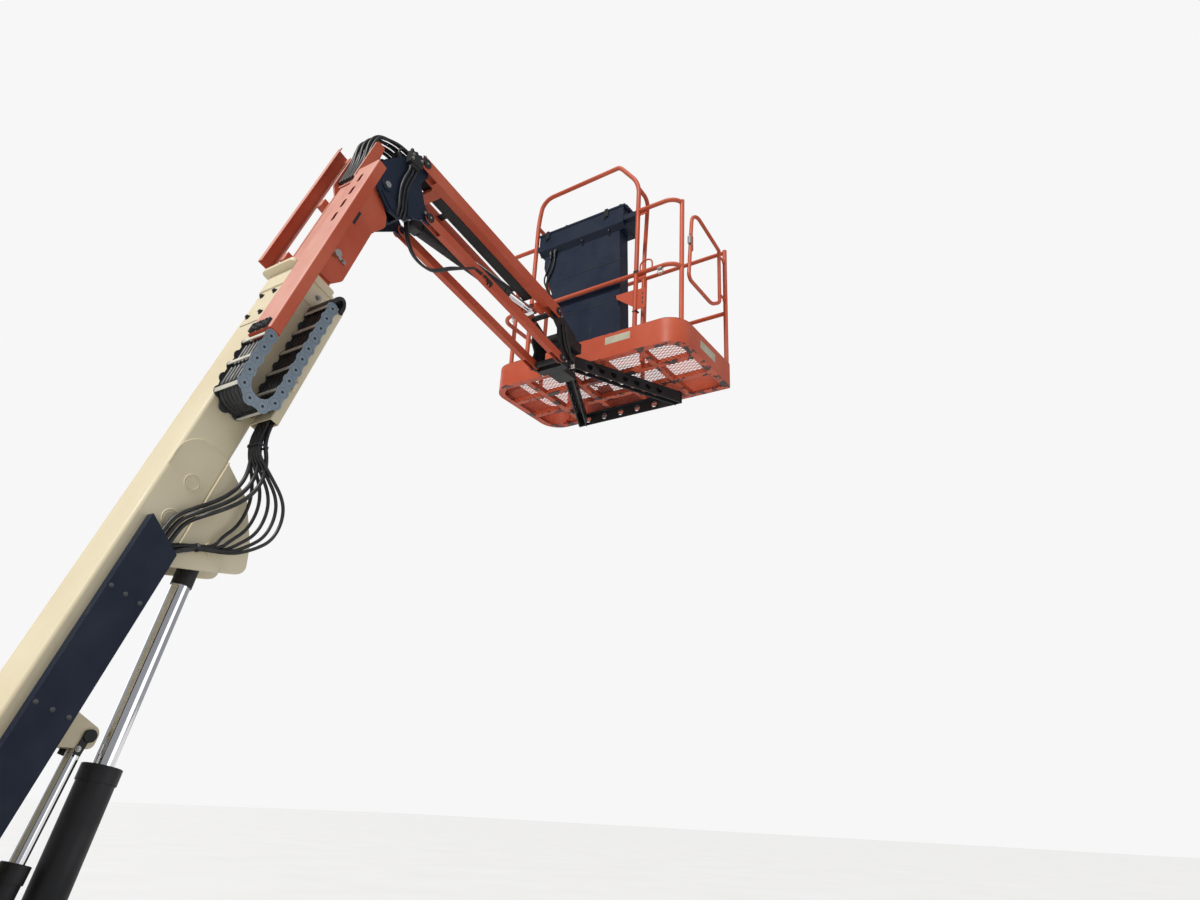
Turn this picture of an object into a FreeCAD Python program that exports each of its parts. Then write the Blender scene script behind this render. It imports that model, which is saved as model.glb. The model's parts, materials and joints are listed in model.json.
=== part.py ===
# Articulating boom lift, about nine metre platform height class.
# Millimetres. +X points forward (the way the boom reaches), +Y to the left, +Z up.
# The origin is on the ground, under the middle of the machine's outline as it parks.
import math
import os
import re

import FreeCAD
import Part
from FreeCAD import Placement, Rotation, Vector

doc = FreeCAD.newDocument("boom_lift")
sheet = doc.addObject("Spreadsheet::Sheet", "sizes")

# Driving dimensions: name and value in millimetres or degrees
SIZES = (
    # Chassis, axles and wheels
    ("wheelbase", 1650), ("overall_width", 1930), ("tyre_radius", 360), ("tyre_width", 240),
    ("rim_radius", 190), ("rim_wall", 12), ("hub_radius", 85), ("spindle_radius", 32),
    ("frame_width", 560), ("frame_top", 600), ("frame_bottom", 270), ("axle_length", 80),
    ("axle_depth", 120), ("kingpin_inset", 155), ("kingpin_radius", 16), ("steer_arm", 150),
    ("tie_rod_radius", 14), ("stud_radius", 8),
    # Turntable
    ("bearing_radius", 380), ("bearing_bore", 300), ("bearing_height", 40), ("deck_radius", 640),
    ("deck_thickness", 44), ("channel_width", 400), ("wall_plate", 15), ("wall_top", 1385),
    ("tail_radius", 955), ("weight_height", 440), ("hood_top", 1400), ("hood_skin", 20),
    ("hood_front", 640), ("hood_back", 470), ("hood_side", 920), ("tray_height", 728),
    # Tower: lower boom, its parallel link and the upright
    ("tower_front", 550), ("tower_front_height", 985), ("tower_back", 700),
    ("tower_back_height", 880), ("link_back", 30), ("link_drop", 150), ("tower_box", 120),
    ("tower_pin", 25), ("link_pin", 16), ("link_depth", 46), ("link_plate", 16),
    ("upright_gap", 210), ("upright_plate", 16),
    # Main boom
    ("boom_pivot_back", 700), ("boom_pivot_height", 1500), ("boom_angle", 72.7),
    ("boom_width", 180), ("boom_depth", 195), ("boom_wall", 8), ("boom_tail", 110),
    ("boom_length", 2575), ("boom_pin", 30), ("collar_length", 45), ("collar_lip", 40),
    ("bracket_plate", 12), ("cover_depth", 38), ("cover_length", 1120),
    ("trough_width", 130), ("trough_depth", 43), ("trough_length", 635), ("trough_wall", 4),
    # Power track
    ("track_width", 150), ("track_pitch", 60), ("track_radius", 76), ("track_plate", 4),
    ("link_round", 25),
    # Telescoping fly boom and its push tube
    ("fly_width", 140), ("fly_depth", 155), ("fly_wall", 6), ("fly_start", 240),
    ("fly_reach", 725), ("head_plate", 10), ("nose_reach", 790), ("nose_drop", 40),
    ("nose_pin", 22), ("tube_width", 140), ("tube_depth", 55), ("tube_behind", 457),
    ("tube_reach", 695),
    # Jib
    ("jib_length", 1241), ("jib_angle", -9.7), ("jib_rise", 285), ("jib_forward", 206),
    ("jib_drop", 290), ("jib_step", 83), ("upper_arm_depth", 78), ("upper_arm_width", 52),
    ("lower_arm_depth", 55), ("lower_arm_width", 35), ("arm_spacing", 202), ("jib_pin", 18),
    ("knuckle_plate", 12), ("tray_width", 64), ("tray_depth", 25),
    # Platform
    ("platform_width", 1520), ("platform_depth", 760), ("platform_corner", 150),
    ("toe_board", 180), ("sheet_metal", 5), ("rail_radius", 16), ("rail_height", 1130),
    ("mid_rail", 600), ("hoop_height", 1600), ("rotator_reach", 274), ("rotator_radius", 70),
    ("near_edge", 422), ("floor_drop", 144), ("support_depth", 84), ("support_plate", 8),
    ("hole_radius", 23),
    # Cylinders: outer radius of the barrel and radius of the rod
    ("lift_barrel", 58), ("lift_rod", 32.5), ("master_barrel", 38), ("master_rod", 22),
    ("tower_barrel", 42), ("tower_rod", 25), ("jib_barrel", 38), ("jib_rod", 20),
    ("slave_barrel", 33), ("slave_rod", 16),
    # Clearances
    ("pin_fit", 0.05), ("seat", 0.3), ("moving_gap", 6), ("hose_radius", 8),
)
for row, (alias, value) in enumerate(SIZES, start=1):
    sheet.set("A%d" % row, alias)
    sheet.set("B%d" % row, str(value))
    sheet.setAlias("B%d" % row, alias)
doc.recompute()


# Value of a named size
def size(alias):
    return float(sheet.get(alias))


# Bind properties of an object to formulas in named sizes
def bind(item, formulas):
    for prop, text in formulas.items():
        item.setExpression(prop, re.sub(r"[a-z][a-z_]*", r"sizes.\g<0>", text))


def at(x, y, z):
    return Placement(Vector(x, y, z), Rotation())


# Frame turned up by an angle about a cross pin at x, z
def pinned(base, x, z, angle):
    return base.multiply(Placement(Vector(x, 0, z), Rotation(Vector(0, -1, 0), angle)))


# Box whose three sides are formulas, from its lowest corner
def block(name, frame, corner, length, width, height):
    item = doc.addObject("Part::Box", name)
    bind(item, {"Length": length, "Width": width, "Height": height})
    item.Placement = frame.multiply(at(*corner))
    return item


# Cylinder from a start point along a direction
def cylinder(name, frame, start, direction, radius, height):
    item = doc.addObject("Part::Cylinder", name)
    bind(item, {"Radius": radius, "Height": height})
    turn = Rotation(Vector(0, 0, 1), Vector(*direction))
    item.Placement = frame.multiply(Placement(Vector(*start), turn))
    return item


# Lines and arcs of a closed outline of corners (across, up, corner radius)
def outline_edges(corners):
    count = len(corners)
    points = [Vector(c[0], c[1], 0) for c in corners]
    ends = []
    for i, corner in enumerate(corners):
        before = (points[i - 1] - points[i]).normalize()
        after = (points[(i + 1) % count] - points[i]).normalize()
        radius = corner[2] if len(corner) > 2 else 0
        if not radius:
            ends.append((points[i], None, points[i]))
            continue
        half = before.getAngle(after) / 2
        reach = radius / math.tan(half)
        middle = points[i] + (before + after).normalize() * (radius / math.sin(half) - radius)
        ends.append((points[i] + before * reach, middle, points[i] + after * reach))
    edges = []
    for i, (start, middle, end) in enumerate(ends):
        if middle is not None:
            edges.append(Part.Arc(start, middle, end))
        following = ends[(i + 1) % count][0]
        if (following - end).Length > 1e-6:
            edges.append(Part.LineSegment(end, following))
    return edges


def sketch_of(name, placement, geometry):
    sketch = doc.addObject("Sketcher::SketchObject", name + "_sketch")
    sketch.addGeometry(geometry, False)
    sketch.Placement = placement
    return sketch


def extrusion(name, sketch, length):
    item = doc.addObject("Part::Extrusion", name)
    item.Base = sketch
    item.DirMode = "Normal"
    item.Solid = True
    bind(item, {"LengthFwd": length})
    return item


# Side-view plate: outline of (along, up, radius), from y_low to y_low + thickness
def plate(name, frame, corners, y_low, thickness, holes=()):
    depth = evaluate(thickness)
    side = Placement(Vector(0, y_low + depth, 0), Rotation(Vector(1, 0, 0), 90))
    geometry = outline_edges(corners)
    for along, up, radius in holes:
        geometry.append(Part.Circle(Vector(along, up, 0), Vector(0, 0, 1), radius))
    return extrusion(name, sketch_of(name, frame.multiply(side), geometry), thickness)


# Plan-view slab: outline of (x, y, radius), from z_low up
def slab(name, frame, corners, z_low, thickness):
    flat = frame.multiply(at(0, 0, z_low))
    return extrusion(name, sketch_of(name, flat, outline_edges(corners)), thickness)


# Number that a formula in named sizes gives
def evaluate(text):
    return float(sheet.evalExpression(text))


def fuse(name, items):
    if len(items) == 1:
        items[0].Label = name
        return items[0]
    item = doc.addObject("Part::MultiFuse", name)
    item.Shapes = items
    item.Refine = True
    return item


def cut(name, base, tools):
    item = doc.addObject("Part::Cut", name)
    item.Base = base
    item.Tool = tools[0] if len(tools) == 1 else fuse(name + "_tools", tools)
    return item


# Pieces of one sub-part that do not touch
def group(name, items):
    item = doc.addObject("Part::Compound", name)
    item.Links = items
    return item


# A shape made with Part's own functions, for bent tubes and patterns
def shaped(name, frame, shape):
    item = doc.addObject("Part::Feature", name)
    item.Shape = shape
    item.Placement = frame
    return item


def common(name, items):
    item = doc.addObject("Part::MultiCommon", name)
    item.Shapes = items
    return item


# Section sketch across a member: outlines of (y, z, radius), drawn at x
def section(name, frame, x, outlines, length):
    facing = Placement(Vector(x, 0, 0), Rotation(Vector(1, 1, 1), 120))
    geometry = []
    for corners in outlines:
        geometry += outline_edges(corners)
    return extrusion(name, sketch_of(name, frame.multiply(facing), geometry), length)


def rectangle(left, right, low, high, radius=0):
    return [(left, low, radius), (right, low, radius), (right, high, radius), (left, high, radius)]


# Hollow rectangular tube along x, centred on y and z
def box_tube(name, frame, x, length, middle_y, middle_z, width, depth, wall, radius):
    outer = rectangle(middle_y - width / 2, middle_y + width / 2,
                      middle_z - depth / 2, middle_z + depth / 2, radius)
    inner = rectangle(middle_y - width / 2 + wall, middle_y + width / 2 - wall,
                      middle_z - depth / 2 + wall, middle_z + depth / 2 - wall,
                      max(radius - wall, 0))
    return section(name, frame, x, [outer, inner], length)


# Solid of revolution about the y axis through the frame: outline of (y, radius)
def turned(name, frame, corners):
    facing = frame.multiply(Placement(Vector(), Rotation(Vector(1, 1, 1), 120)))
    item = doc.addObject("Part::Revolution", name)
    item.Source = sketch_of(name, facing, outline_edges(corners))
    item.Axis = frame.Rotation.multVec(Vector(0, 1, 0))
    item.Base = frame.Base
    item.Angle = 360
    item.Solid = True
    return item


# Cross pin through a member at x, z from -half to half
def cross_pin(name, frame, x, z, radius, half):
    item = doc.addObject("Part::Cylinder", name)
    bind(item, {"Radius": radius})
    item.Height = 2 * half
    item.Placement = frame.multiply(Placement(Vector(x, half, z), Rotation(Vector(1, 0, 0), 90)))
    return item


# Pin heads on the outer faces of two lugs, from half outwards
def pin_heads(name, frame, x, z, radius, half, depth):
    heads = []
    for start in (half - 1, -half - depth):
        heads.append(cylinder(name, frame, (x, start, z), (0, 1, 0), radius, str(depth + 1)))
    return heads


# Path of straight runs joined by arcs that touch both
def bent_path(points, reach):
    points = [Vector(*p) for p in points]
    edges = []
    start = points[0]
    for i in range(1, len(points) - 1):
        before = points[i - 1] - points[i]
        after = points[i + 1] - points[i]
        length = min(reach, 0.45 * min(before.Length, after.Length))
        before.normalize()
        after.normalize()
        half = before.getAngle(after) / 2
        radius = length * math.tan(half)
        first = points[i] + before * length
        last = points[i] + after * length
        middle = points[i] + (before + after).normalize() * (radius / math.sin(half) - radius)
        edges.append(Part.makeLine(start, first))
        edges.append(Part.Arc(first, middle, last).toShape())
        start = last
    edges.append(Part.makeLine(start, points[-1]))
    return Part.Wire(edges)


# Round bar or hose along a bent path
def bent_bar(points, radius, reach):
    path = bent_path(points, reach)
    first = Vector(*points[0])
    ring = Part.makeCircle(radius, first, Vector(*points[1]) - first)
    solid = path.makePipeShell([Part.Wire(ring)], True, False)
    return solid if solid.ShapeType == "Solid" else solid.Solids[0]


# Main points of the linkage, in the machine's own frame
lean = math.radians(size("boom_angle"))
along = Vector(math.cos(lean), 0, math.sin(lean))
outward = Vector(-math.sin(lean), 0, math.cos(lean))
boom_pivot = Vector(-size("boom_pivot_back"), 0, size("boom_pivot_height"))
nose_s = size("boom_length") + size("nose_reach")
nose = boom_pivot + along * nose_s - outward * size("nose_drop")
upper_near = nose + Vector(size("jib_forward"), 0, size("jib_rise"))
lower_near = upper_near + Vector(size("jib_step"), 0, -size("jib_drop"))
jib_lean = math.radians(size("jib_angle"))
jib_way = Vector(math.cos(jib_lean), 0, math.sin(jib_lean)) * size("jib_length")
upper_far = upper_near + jib_way
platform_near = upper_far.x + size("near_edge")
front_end = platform_near + size("platform_depth")
axle_x = size("wheelbase") / 2
back_end = -axle_x - size("tyre_radius")
machine = at(-(front_end + back_end) / 2, 0, 0)
boom = pinned(machine, boom_pivot.x, boom_pivot.z, size("boom_angle"))
mouth = boom.multiply(at(size("boom_length"), 0, 0))
tip = machine.multiply(at(nose.x, 0, nose.z))
upper_jib = pinned(machine, upper_near.x, upper_near.z, size("jib_angle"))
lower_jib = pinned(machine, lower_near.x, lower_near.z, size("jib_angle"))
jib_end = machine.multiply(at(upper_far.x, 0, upper_far.z))
floor_frame = machine.multiply(at(platform_near, 0, upper_far.z - size("floor_drop")))
tower_front = Vector(size("tower_front"), 0, size("tower_front_height"))
tower_back = Vector(-size("tower_back"), 0, size("tower_back_height"))
link_step = Vector(-size("link_back"), 0, -size("link_drop"))
tower_run = tower_front - tower_back
tower_eye_step = Vector(-380, 0, -180)
tower_lean = math.degrees(math.atan2(tower_run.z, tower_run.x))
tower = pinned(machine, tower_back.x, tower_back.z, tower_lean)
link = pinned(machine, (tower_back + link_step).x, (tower_back + link_step).z, tower_lean)


# Point given along and above the boom, in the machine's frame
def on_boom(s, h):
    return boom_pivot + along * s + outward * h


parts = {}


# Chassis with both axle beams, kingpins in front and spindles behind
fit = size("pin_fit")
half_frame = size("frame_width") / 2
wheel_y = (size("overall_width") - size("tyre_width")) / 2
wheel_z = size("tyre_radius")
king_y = wheel_y - size("kingpin_inset") - 50
frame_end = axle_x - size("axle_length") / 2
low, top = size("frame_bottom"), size("frame_top")
side_view = [(-frame_end, 330), (-700, low, 30), (700, low, 30), (frame_end, 330),
             (frame_end, 480), (690, top, 30), (-690, top, 30), (-frame_end, 480)]
pieces = [plate("chassis_box", machine, side_view, -half_frame, "frame_width")]
beam = [(-40, -60, 10), (40, -60, 10), (40, 60, 10), (-40, 60, 10)]
beam_frames = {}
for end, x, reach in (("front", axle_x, king_y - 65), ("rear", -axle_x, wheel_y - 110)):
    axle = machine.multiply(at(x, 0, wheel_z))
    beam_frames[end] = axle
    name = end + "_axle"
    pieces.append(plate(name, axle, beam, -reach, str(2 * reach)))
for side in (-1, 1):
    yoke = beam_frames["front"].multiply(at(0, side * king_y, 0))
    inward = -side * 70
    for level in (-62, 42):
        corners = rectangle(-34, 34, min(inward, side * 30), max(inward, side * 30), 12)
        pieces.append(slab("yoke_plate", yoke, corners, level, "20"))
    pieces.append(cylinder("kingpin", yoke, (0, 0, -68), (0, 0, 1), "kingpin_radius", "136"))
    hub = beam_frames["rear"].multiply(at(0, side * wheel_y, 0))
    spindle = [(-side * 115, 0), (-side * 115, 60), (-side * 60, 60), (-side * 60, 32),
               (side * 40.3, 32), (side * 40.3, 46), (side * 54, 46), (side * 54, 0)]
    pieces.append(turned("spindle", hub, spindle))
bores = []
for end in (-1, 1):
    low_x = min(end * (frame_end - 40), end * (frame_end + 46))
    lug_x = end * (frame_end + 38) - 8
    for y in (-208, 208):
        pieces.append(block("tie_down_arm", machine, (low_x, y - 30, 484), "86", "60", "14"))
        pieces.append(section("tie_down", machine, lug_x, [rectangle(y - 32, y + 32, 484, 560, 12)],
                              "16"))
        bores.append(cylinder("tie_down_bore", machine, (lug_x - 2, y, 528), (1, 0, 0), "20", "20"))
parts["chassis_frame"] = cut("chassis_frame", fuse("chassis_body", pieces), bores)

# Steering knuckles: boss on the kingpin, spindle and steering arm
for side, label in ((1, "left"), (-1, "right")):
    king = beam_frames["front"].multiply(at(0, side * king_y, 0))
    hub = beam_frames["front"].multiply(at(0, side * wheel_y, 0))
    reach = side * (king_y - wheel_y)
    spindle = [(reach, 0), (reach, 30), (-side * 80, 55), (-side * 60, 55), (-side * 60, 32),
               (side * 40.3, 32), (side * 40.3, 46), (side * 54, 46), (side * 54, 0)]
    name = "steer_knuckle_" + label
    stud = size("stud_radius") + (fit if side > 0 else 1)
    pieces = [
        cylinder("boss", king, (0, 0, -38), (0, 0, 1), "34", "76"),
        turned("steer_spindle", hub, spindle),
        slab("steer_arm", king, rectangle(0, 172, -16, 16, 12), -20, "20"),
    ]
    bore = cylinder("king_bore", king, (0, 0, -60), (0, 0, 1), "kingpin_radius + pin_fit", "120")
    hole = cylinder("stud_hole", king, (size("steer_arm"), 0, -40), (0, 0, 1), str(stud), "60")
    parts[name] = cut(name, fuse(name + "_body", pieces), [bore, hole])

# Tie rod across the front, its studs up through the steering arms
rod_z = wheel_z - 22 - size("tie_rod_radius")
rod_x = axle_x + size("steer_arm")
rod = [cylinder("tie_bar", machine, (rod_x, -king_y - 20, rod_z), (0, 1, 0),
                "tie_rod_radius", str(2 * king_y + 40))]
for side in (-1, 1):
    rod.append(cylinder("tie_stud", machine, (rod_x, side * king_y, rod_z), (0, 0, 1),
                        "stud_radius", "42"))
parts["tie_rod"] = fuse("tie_rod", rod)

# Wheels: solid block tyre on a pressed rim
half_tyre = size("tyre_width") / 2
tyre_top = size("tyre_radius")
rim_top = size("rim_radius")
gap = size("seat")
WHEELS = (("front_left", 1, 1), ("front_right", 1, -1), ("rear_left", -1, 1), ("rear_right", -1, -1))
for label, end, side in WHEELS:
    hub = machine.multiply(at(end * axle_x, side * wheel_y, wheel_z))
    half = [(95 - gap, rim_top + gap), (95 - gap, 207), (half_tyre, 240), (half_tyre, 335, 14),
            (half_tyre - 18, tyre_top, 10)]
    mirrored = [(-c[0],) + c[1:] for c in reversed(half)]
    parts["tyre_" + label] = turned("tyre_" + label, hub, half + mirrored)
    wall = size("rim_wall")
    inner = rim_top - wall
    rim = [(101, inner), (101, 206), (95, 206), (95, rim_top), (-95, rim_top), (-95, 206),
           (-101, 206), (-101, inner), (-6, inner), (-6, 62), (-45, 62),
           (-45, 32 + fit), (40, 32 + fit), (40, 62), (8, 62), (8, inner)]
    rim = [(side * c[0],) + c[1:] for c in rim]
    parts["rim_" + label] = turned("rim_" + label, hub, rim)

# Swing bearing between chassis and turntable
ring = cylinder("bearing_ring", machine, (0, 0, top + gap), (0, 0, 1),
                "bearing_radius", "bearing_height - 2 * seat")
bore = cylinder("bearing_opening", machine, (0, 0, top - 5), (0, 0, 1), "bearing_bore", "60")
parts["swing_bearing"] = cut("swing_bearing", ring, [bore])

# Turntable: deck, channel walls, pin lugs and side trays
deck_z = top + size("bearing_height")
deck_top = deck_z + size("deck_thickness")
tray_z = size("tray_height")
tray_thick = size("wall_plate")
wall_y = size("channel_width") / 2 + tray_thick
wall_top = size("wall_top")
pieces = [cylinder("deck", machine, (0, 0, deck_z), (0, 0, 1), "deck_radius", "deck_thickness")]
wall_view = [(-480, deck_top - 5), (590, deck_top - 5), (615, 760), (615, 1120, 40),
             (470, wall_top, 60), (-330, wall_top, 40), (-480, 1150, 40)]
lug_view = [(440, deck_top - 5), (600, deck_top - 5), (tower_front.x + 50, tower_front.z + 50, 48),
            (tower_front.x - 50, tower_front.z + 50, 48), (460, 870)]
half_gap = 140
back_reach = size("tail_radius") - 15
for side in (-1, 1):
    low_y = min(side * wall_y, side * (wall_y + tray_thick))
    pieces.append(plate("channel_wall", machine, wall_view, low_y, "wall_plate"))
    low_y = min(side * (half_gap - 10), side * (half_gap + 5))
    pieces.append(plate("tower_lug", machine, lug_view, low_y, "wall_plate"))
    start = wall_y if side > 0 else -size("hood_side") + 5
    pieces.append(block("side_tray", machine, (-480, start, tray_z), "hood_front + 480 - 3",
                        str(size("hood_side") - 5 - wall_y), "wall_plate"))
    rear = common("rear_tray", [
        cylinder("rear_disc", machine, (0, 0, tray_z), (0, 0, 1), "tail_radius - 15", "wall_plate"),
        block("rear_block", machine, (-back_reach, min(side * 255, side * 940), tray_z),
              str(back_reach - 475), "685", "wall_plate")])
    pieces.append(rear)
    strut = min(side * wall_y, side * (wall_y + 400))
    pieces.append(block("tray_strut", machine, (-300, strut, deck_z + 10), "600", "400", "34"))
    post = min(side * (wall_y + 330), side * (wall_y + 350))
    pieces.append(block("tray_web", machine, (-300, post, deck_z + 10), "600", "20",
                        str(tray_z - deck_z)))
pieces.append(cross_pin("tower_pin", machine, tower_front.x, tower_front.z, "tower_pin", 152))
foot = tower_front + link_step
pieces.append(cross_pin("link_pin", machine, foot.x, foot.z, "link_pin", 152))
tower_foot = Vector(-420, 0, 765)
foot_view = [(-455, deck_top - 5), (-385, deck_top - 5), (-385, 800, 34), (-455, 800, 34)]
for low_y in (-46, 34):
    pieces.append(plate("foot_lug", machine, foot_view, low_y, "12"))
pieces.append(cross_pin("foot_pin", machine, tower_foot.x, tower_foot.z, "16", 48))
parts["turntable_frame"] = fuse("turntable_frame", pieces)

# Counterweight: two cast crescents on the rear tray
crescents = []
shelf = tray_z + tray_thick
for side in (-1, 1):
    crescents.append(common("crescent", [
        cylinder("crescent_disc", machine, (0, 0, shelf + gap), (0, 0, 1),
                 "tail_radius", "weight_height"),
        block("crescent_block", machine, (-960, min(side * 258, side * 960), shelf + gap),
              "480", "702", "weight_height")]))
parts["counterweight"] = group("counterweight", crescents)

# Hoods over the side trays, open towards the channel and below
skin = size("hood_skin")
for side, label in ((1, "left"), (-1, "right")):
    name = "hood_" + label
    inner_y = wall_y + tray_thick + size("moving_gap")
    facing = [(side * inner_y, shelf + gap), (side * size("hood_side"), shelf + gap),
              (side * size("hood_side"), 1230, 60), (side * (size("hood_side") - 110),
              size("hood_top"), 60), (side * inner_y, size("hood_top"))]
    hollow = [(side * (inner_y - 30), shelf - 20), (side * (size("hood_side") - skin), shelf - 20),
              (side * (size("hood_side") - skin), 1222, 45),
              (side * (size("hood_side") - 118), size("hood_top") - skin, 45),
              (side * (inner_y - 30), size("hood_top") - skin)]
    shell = section(name + "_shell", machine, -size("hood_back"), [facing],
                    "hood_back + hood_front")
    inside = section(name + "_hollow", machine, -size("hood_back") + skin, [hollow],
                     "hood_back + hood_front - 2 * hood_skin")
    parts[name] = cut(name, shell, [inside])

# Power unit under the left hood, tanks and controls under the right one
parts["engine_block"] = fuse("engine_block", [
    block("engine_mass", machine, (-320, 330, shelf + gap), "660", "430", "360")])
parts["tank_unit"] = fuse("tank_unit", [
    block("tank_mass", machine, (-320, -780, shelf + gap), "620", "440", "400")])
box_low = -size("hood_side") + skin + 14
parts["ground_control_box"] = fuse("ground_control_box", [
    block("control_stand", machine, (420, box_low + 60, shelf + gap), "90", "120", "220"),
    block("control_head", machine, (390, box_low + 20, shelf + 218), "150", "220", "190")])

# Tower boom, hinged at the front of the turntable
reach = tower_run.Length
half_box = size("tower_box") / 2
bar = [(-half_box, -half_box, 59), (reach + half_box, -half_box, 59),
       (reach + half_box, half_box, 59), (-half_box, half_box, 59)]
hole = size("tower_pin") + fit
eye = tower.Rotation.inverted().multVec(tower_eye_step) + Vector(reach, 0, 0)
pieces = [plate("tower_bar", tower, bar, -half_box, "tower_box",
                ((0, 0, hole), (reach, 0, hole)))]
lug = [(eye.x - 70, -half_box + 2), (eye.x - 30, eye.z - 28, 26), (eye.x + 30, eye.z - 28, 26),
       (eye.x + 70, -half_box + 2)]
for low_y in (-46, 34):
    pieces.append(plate("eye_lug", tower, lug, low_y, "12"))
pieces += pin_heads("eye_pin", tower, eye.x, eye.z, "16", 46, 5)
parts["tower_boom"] = fuse("tower_boom", pieces)

# Parallel link below the tower boom
half_link = size("link_depth") / 2
bar = [(-half_link, -half_link, 22), (reach + half_link, -half_link, 22),
       (reach + half_link, half_link, 22), (-half_link, half_link, 22)]
hole = size("link_pin") + fit
pieces = []
for low_y in (-88, 72):
    pieces.append(plate("link_bar", link, bar, low_y, "link_plate",
                        ((0, 0, hole), (reach, 0, hole))))
pieces.append(cross_pin("link_tie", link, reach - 200, 0, "12", 74))
parts["tower_link"] = fuse("tower_link", pieces)

# Upright that carries the main boom and the feet of its cylinders
lift_foot = Vector(-397, 0, 1070)
master_foot = Vector(-490, 0, 1350)
post_view = [(-764, 697, 20), (-696, 697, 20), (-610, 860, 40), (-352, 1015, 40),
             (-345, 1110, 40), (-452, 1270, 20), (-454, 1385, 32), (-575, 1375, 20),
             (-622, 1440, 30), (-630, 1572, 68), (-770, 1572, 68), (-775, 1300, 40)]
half_post = size("upright_gap") / 2
pieces = []
for low_y in (-half_post - size("upright_plate"), half_post):
    pieces.append(plate("upright_side", machine, post_view, low_y, "upright_plate"))
pieces.append(block("upright_web", machine, (-771, -half_post - 1, 960), "14",
                    "upright_gap + 2", "372"))
PINS = ((boom_pivot, "boom_pin"), (tower_back, "tower_pin"), (tower_back + link_step, "link_pin"),
        (lift_foot, "24"), (master_foot, "18"))
for spot, radius in PINS:
    pieces.append(cross_pin("upright_pin", machine, spot.x, spot.z, radius, half_post + 18))
parts["upright"] = fuse("upright", pieces)


# Hydraulic cylinder: barrel with foot eye and gland, rod with its own eye
def hydraulic(name, foot, head, gland, tail, travel, sizes_of, eyes, open_foot=False):
    barrel, rod = sizes_of
    foot_pin, foot_eye, foot_half, head_pin, head_eye, head_half = eyes
    run = head - foot
    frame = pinned(machine, foot.x, foot.z, math.degrees(math.atan2(run.z, run.x)))
    outer = size(barrel)
    inner = outer - 9
    thin = size(rod)
    start = foot_eye + 8
    wall = [(start, 0), (start, outer), (gland - 50, outer), (gland - 50, outer + 4),
            (gland - 2, outer + 4), (gland, outer + 2), (gland, thin + fit),
            (gland - 45, thin + fit), (gland - 45, inner), (tail - travel - 4, inner),
            (tail - travel - 4, 0)]
    lying = frame.multiply(Placement(Vector(), Rotation(Vector(0, 0, 1), -90)))
    ring = plate(name + "_foot", frame, [(-foot_eye, -foot_eye, foot_eye - 0.5),
                 (start + 2, -foot_eye), (start + 2, foot_eye),
                 (-foot_eye, foot_eye, foot_eye - 0.5)],
                 -foot_half, str(2 * foot_half),
                 () if open_foot else ((0, 0, foot_pin + fit),))
    parts[name + "_barrel"] = fuse(name + "_barrel", [turned(name + "_wall", lying, wall), ring])
    reach = run.Length
    bar = cylinder(name + "_bar", frame, (tail, 0, 0), (1, 0, 0), rod,
                   str(reach - tail - head_eye + 4))
    end = plate(name + "_head", frame, [(reach - head_eye, -head_eye),
                (reach + head_eye, -head_eye, head_eye - 0.5),
                (reach + head_eye, head_eye, head_eye - 0.5), (reach - head_eye, head_eye)],
                -head_half, str(2 * head_half),
                ((reach, 0, head_pin + fit),) if open_foot else ())
    solids = [bar, end]
    if not open_foot:
        solids.append(cross_pin(name + "_stub", frame, reach, 0, str(head_pin), head_half + 2))
    parts[name + "_rod"] = fuse(name + "_rod", solids)
    return frame


lift_head = on_boom(1325, -204)
master_head = on_boom(635, -191)
tower_head = tower_front + tower_eye_step
hydraulic("tower", tower_foot, tower_head, 490, 62, 0, ("tower_barrel", "tower_rod"),
          (16, 32, 28, 16, 30, 26))
hydraulic("lift", lift_foot, lift_head, 910, 700, 630, ("lift_barrel", "lift_rod"),
          (24, 46, 46, 22, 44, 68))
hydraulic("master", master_foot, master_head, 352, 346, 305, ("master_barrel", "master_rod"),
          (18, 28, 26, 16, 28, 22))

# Main boom: box, pivot bosses, nose collar, cylinder brackets and wear pads
half_wide = size("boom_width") / 2
half_deep = size("boom_depth") / 2
pieces = [box_tube("boom_box", boom, -size("boom_tail"), "boom_length + boom_tail", 0, 0,
                   size("boom_width"), size("boom_depth"), size("boom_wall"), 16)]
for start in (-half_wide - 14, half_wide - 4):
    pieces.append(cylinder("pivot_boss", boom, (0, start, 0), (0, 1, 0), "58", "18"))
collar = [rectangle(-102, 112, -114, 137, 22), rectangle(-82, 82, -89.5, 89.5, 6)]
pieces.append(section("collar", boom, size("boom_length") - 2, collar, "18"))
band = [rectangle(-96, 96, -104, 104, 18), rectangle(-82, 82, -89.5, 89.5, 6)]
pieces.append(section("collar_band", boom, size("boom_length") - 110, band, "collar_length + 110"))
bracket = [(1640, -92), (1565, -231, 20), (1426, -330, 30), (1320, -370, 40), (1249, -227, 30),
           (1187, -92)]
for low_y in (-90, 78):
    pieces.append(plate("lift_bracket", boom, bracket, low_y, "bracket_plate"))
pieces += pin_heads("lift_head_pin", boom, 1325, -204, "26", half_wide, 9)
master_lug = [(690, -92), (664, -216, 26), (604, -222, 24), (566, -92)]
for low_y in (-42, 30):
    pieces.append(plate("master_lug", boom, master_lug, low_y, "bracket_plate"))
pieces += pin_heads("master_head_pin", boom, 635, -191, "16", 42, 8)
pad_reach = half_deep - size("boom_wall")
fly_half = size("fly_depth") / 2
fly_side = size("fly_width") / 2
for low_z in (fly_half + gap, -pad_reach - 1):
    pieces.append(block("wear_pad", mouth, (-165, -50, low_z), "120", "100",
                        str(pad_reach + 1 - fly_half - gap)))
pad_side = half_wide - size("boom_wall")
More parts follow.
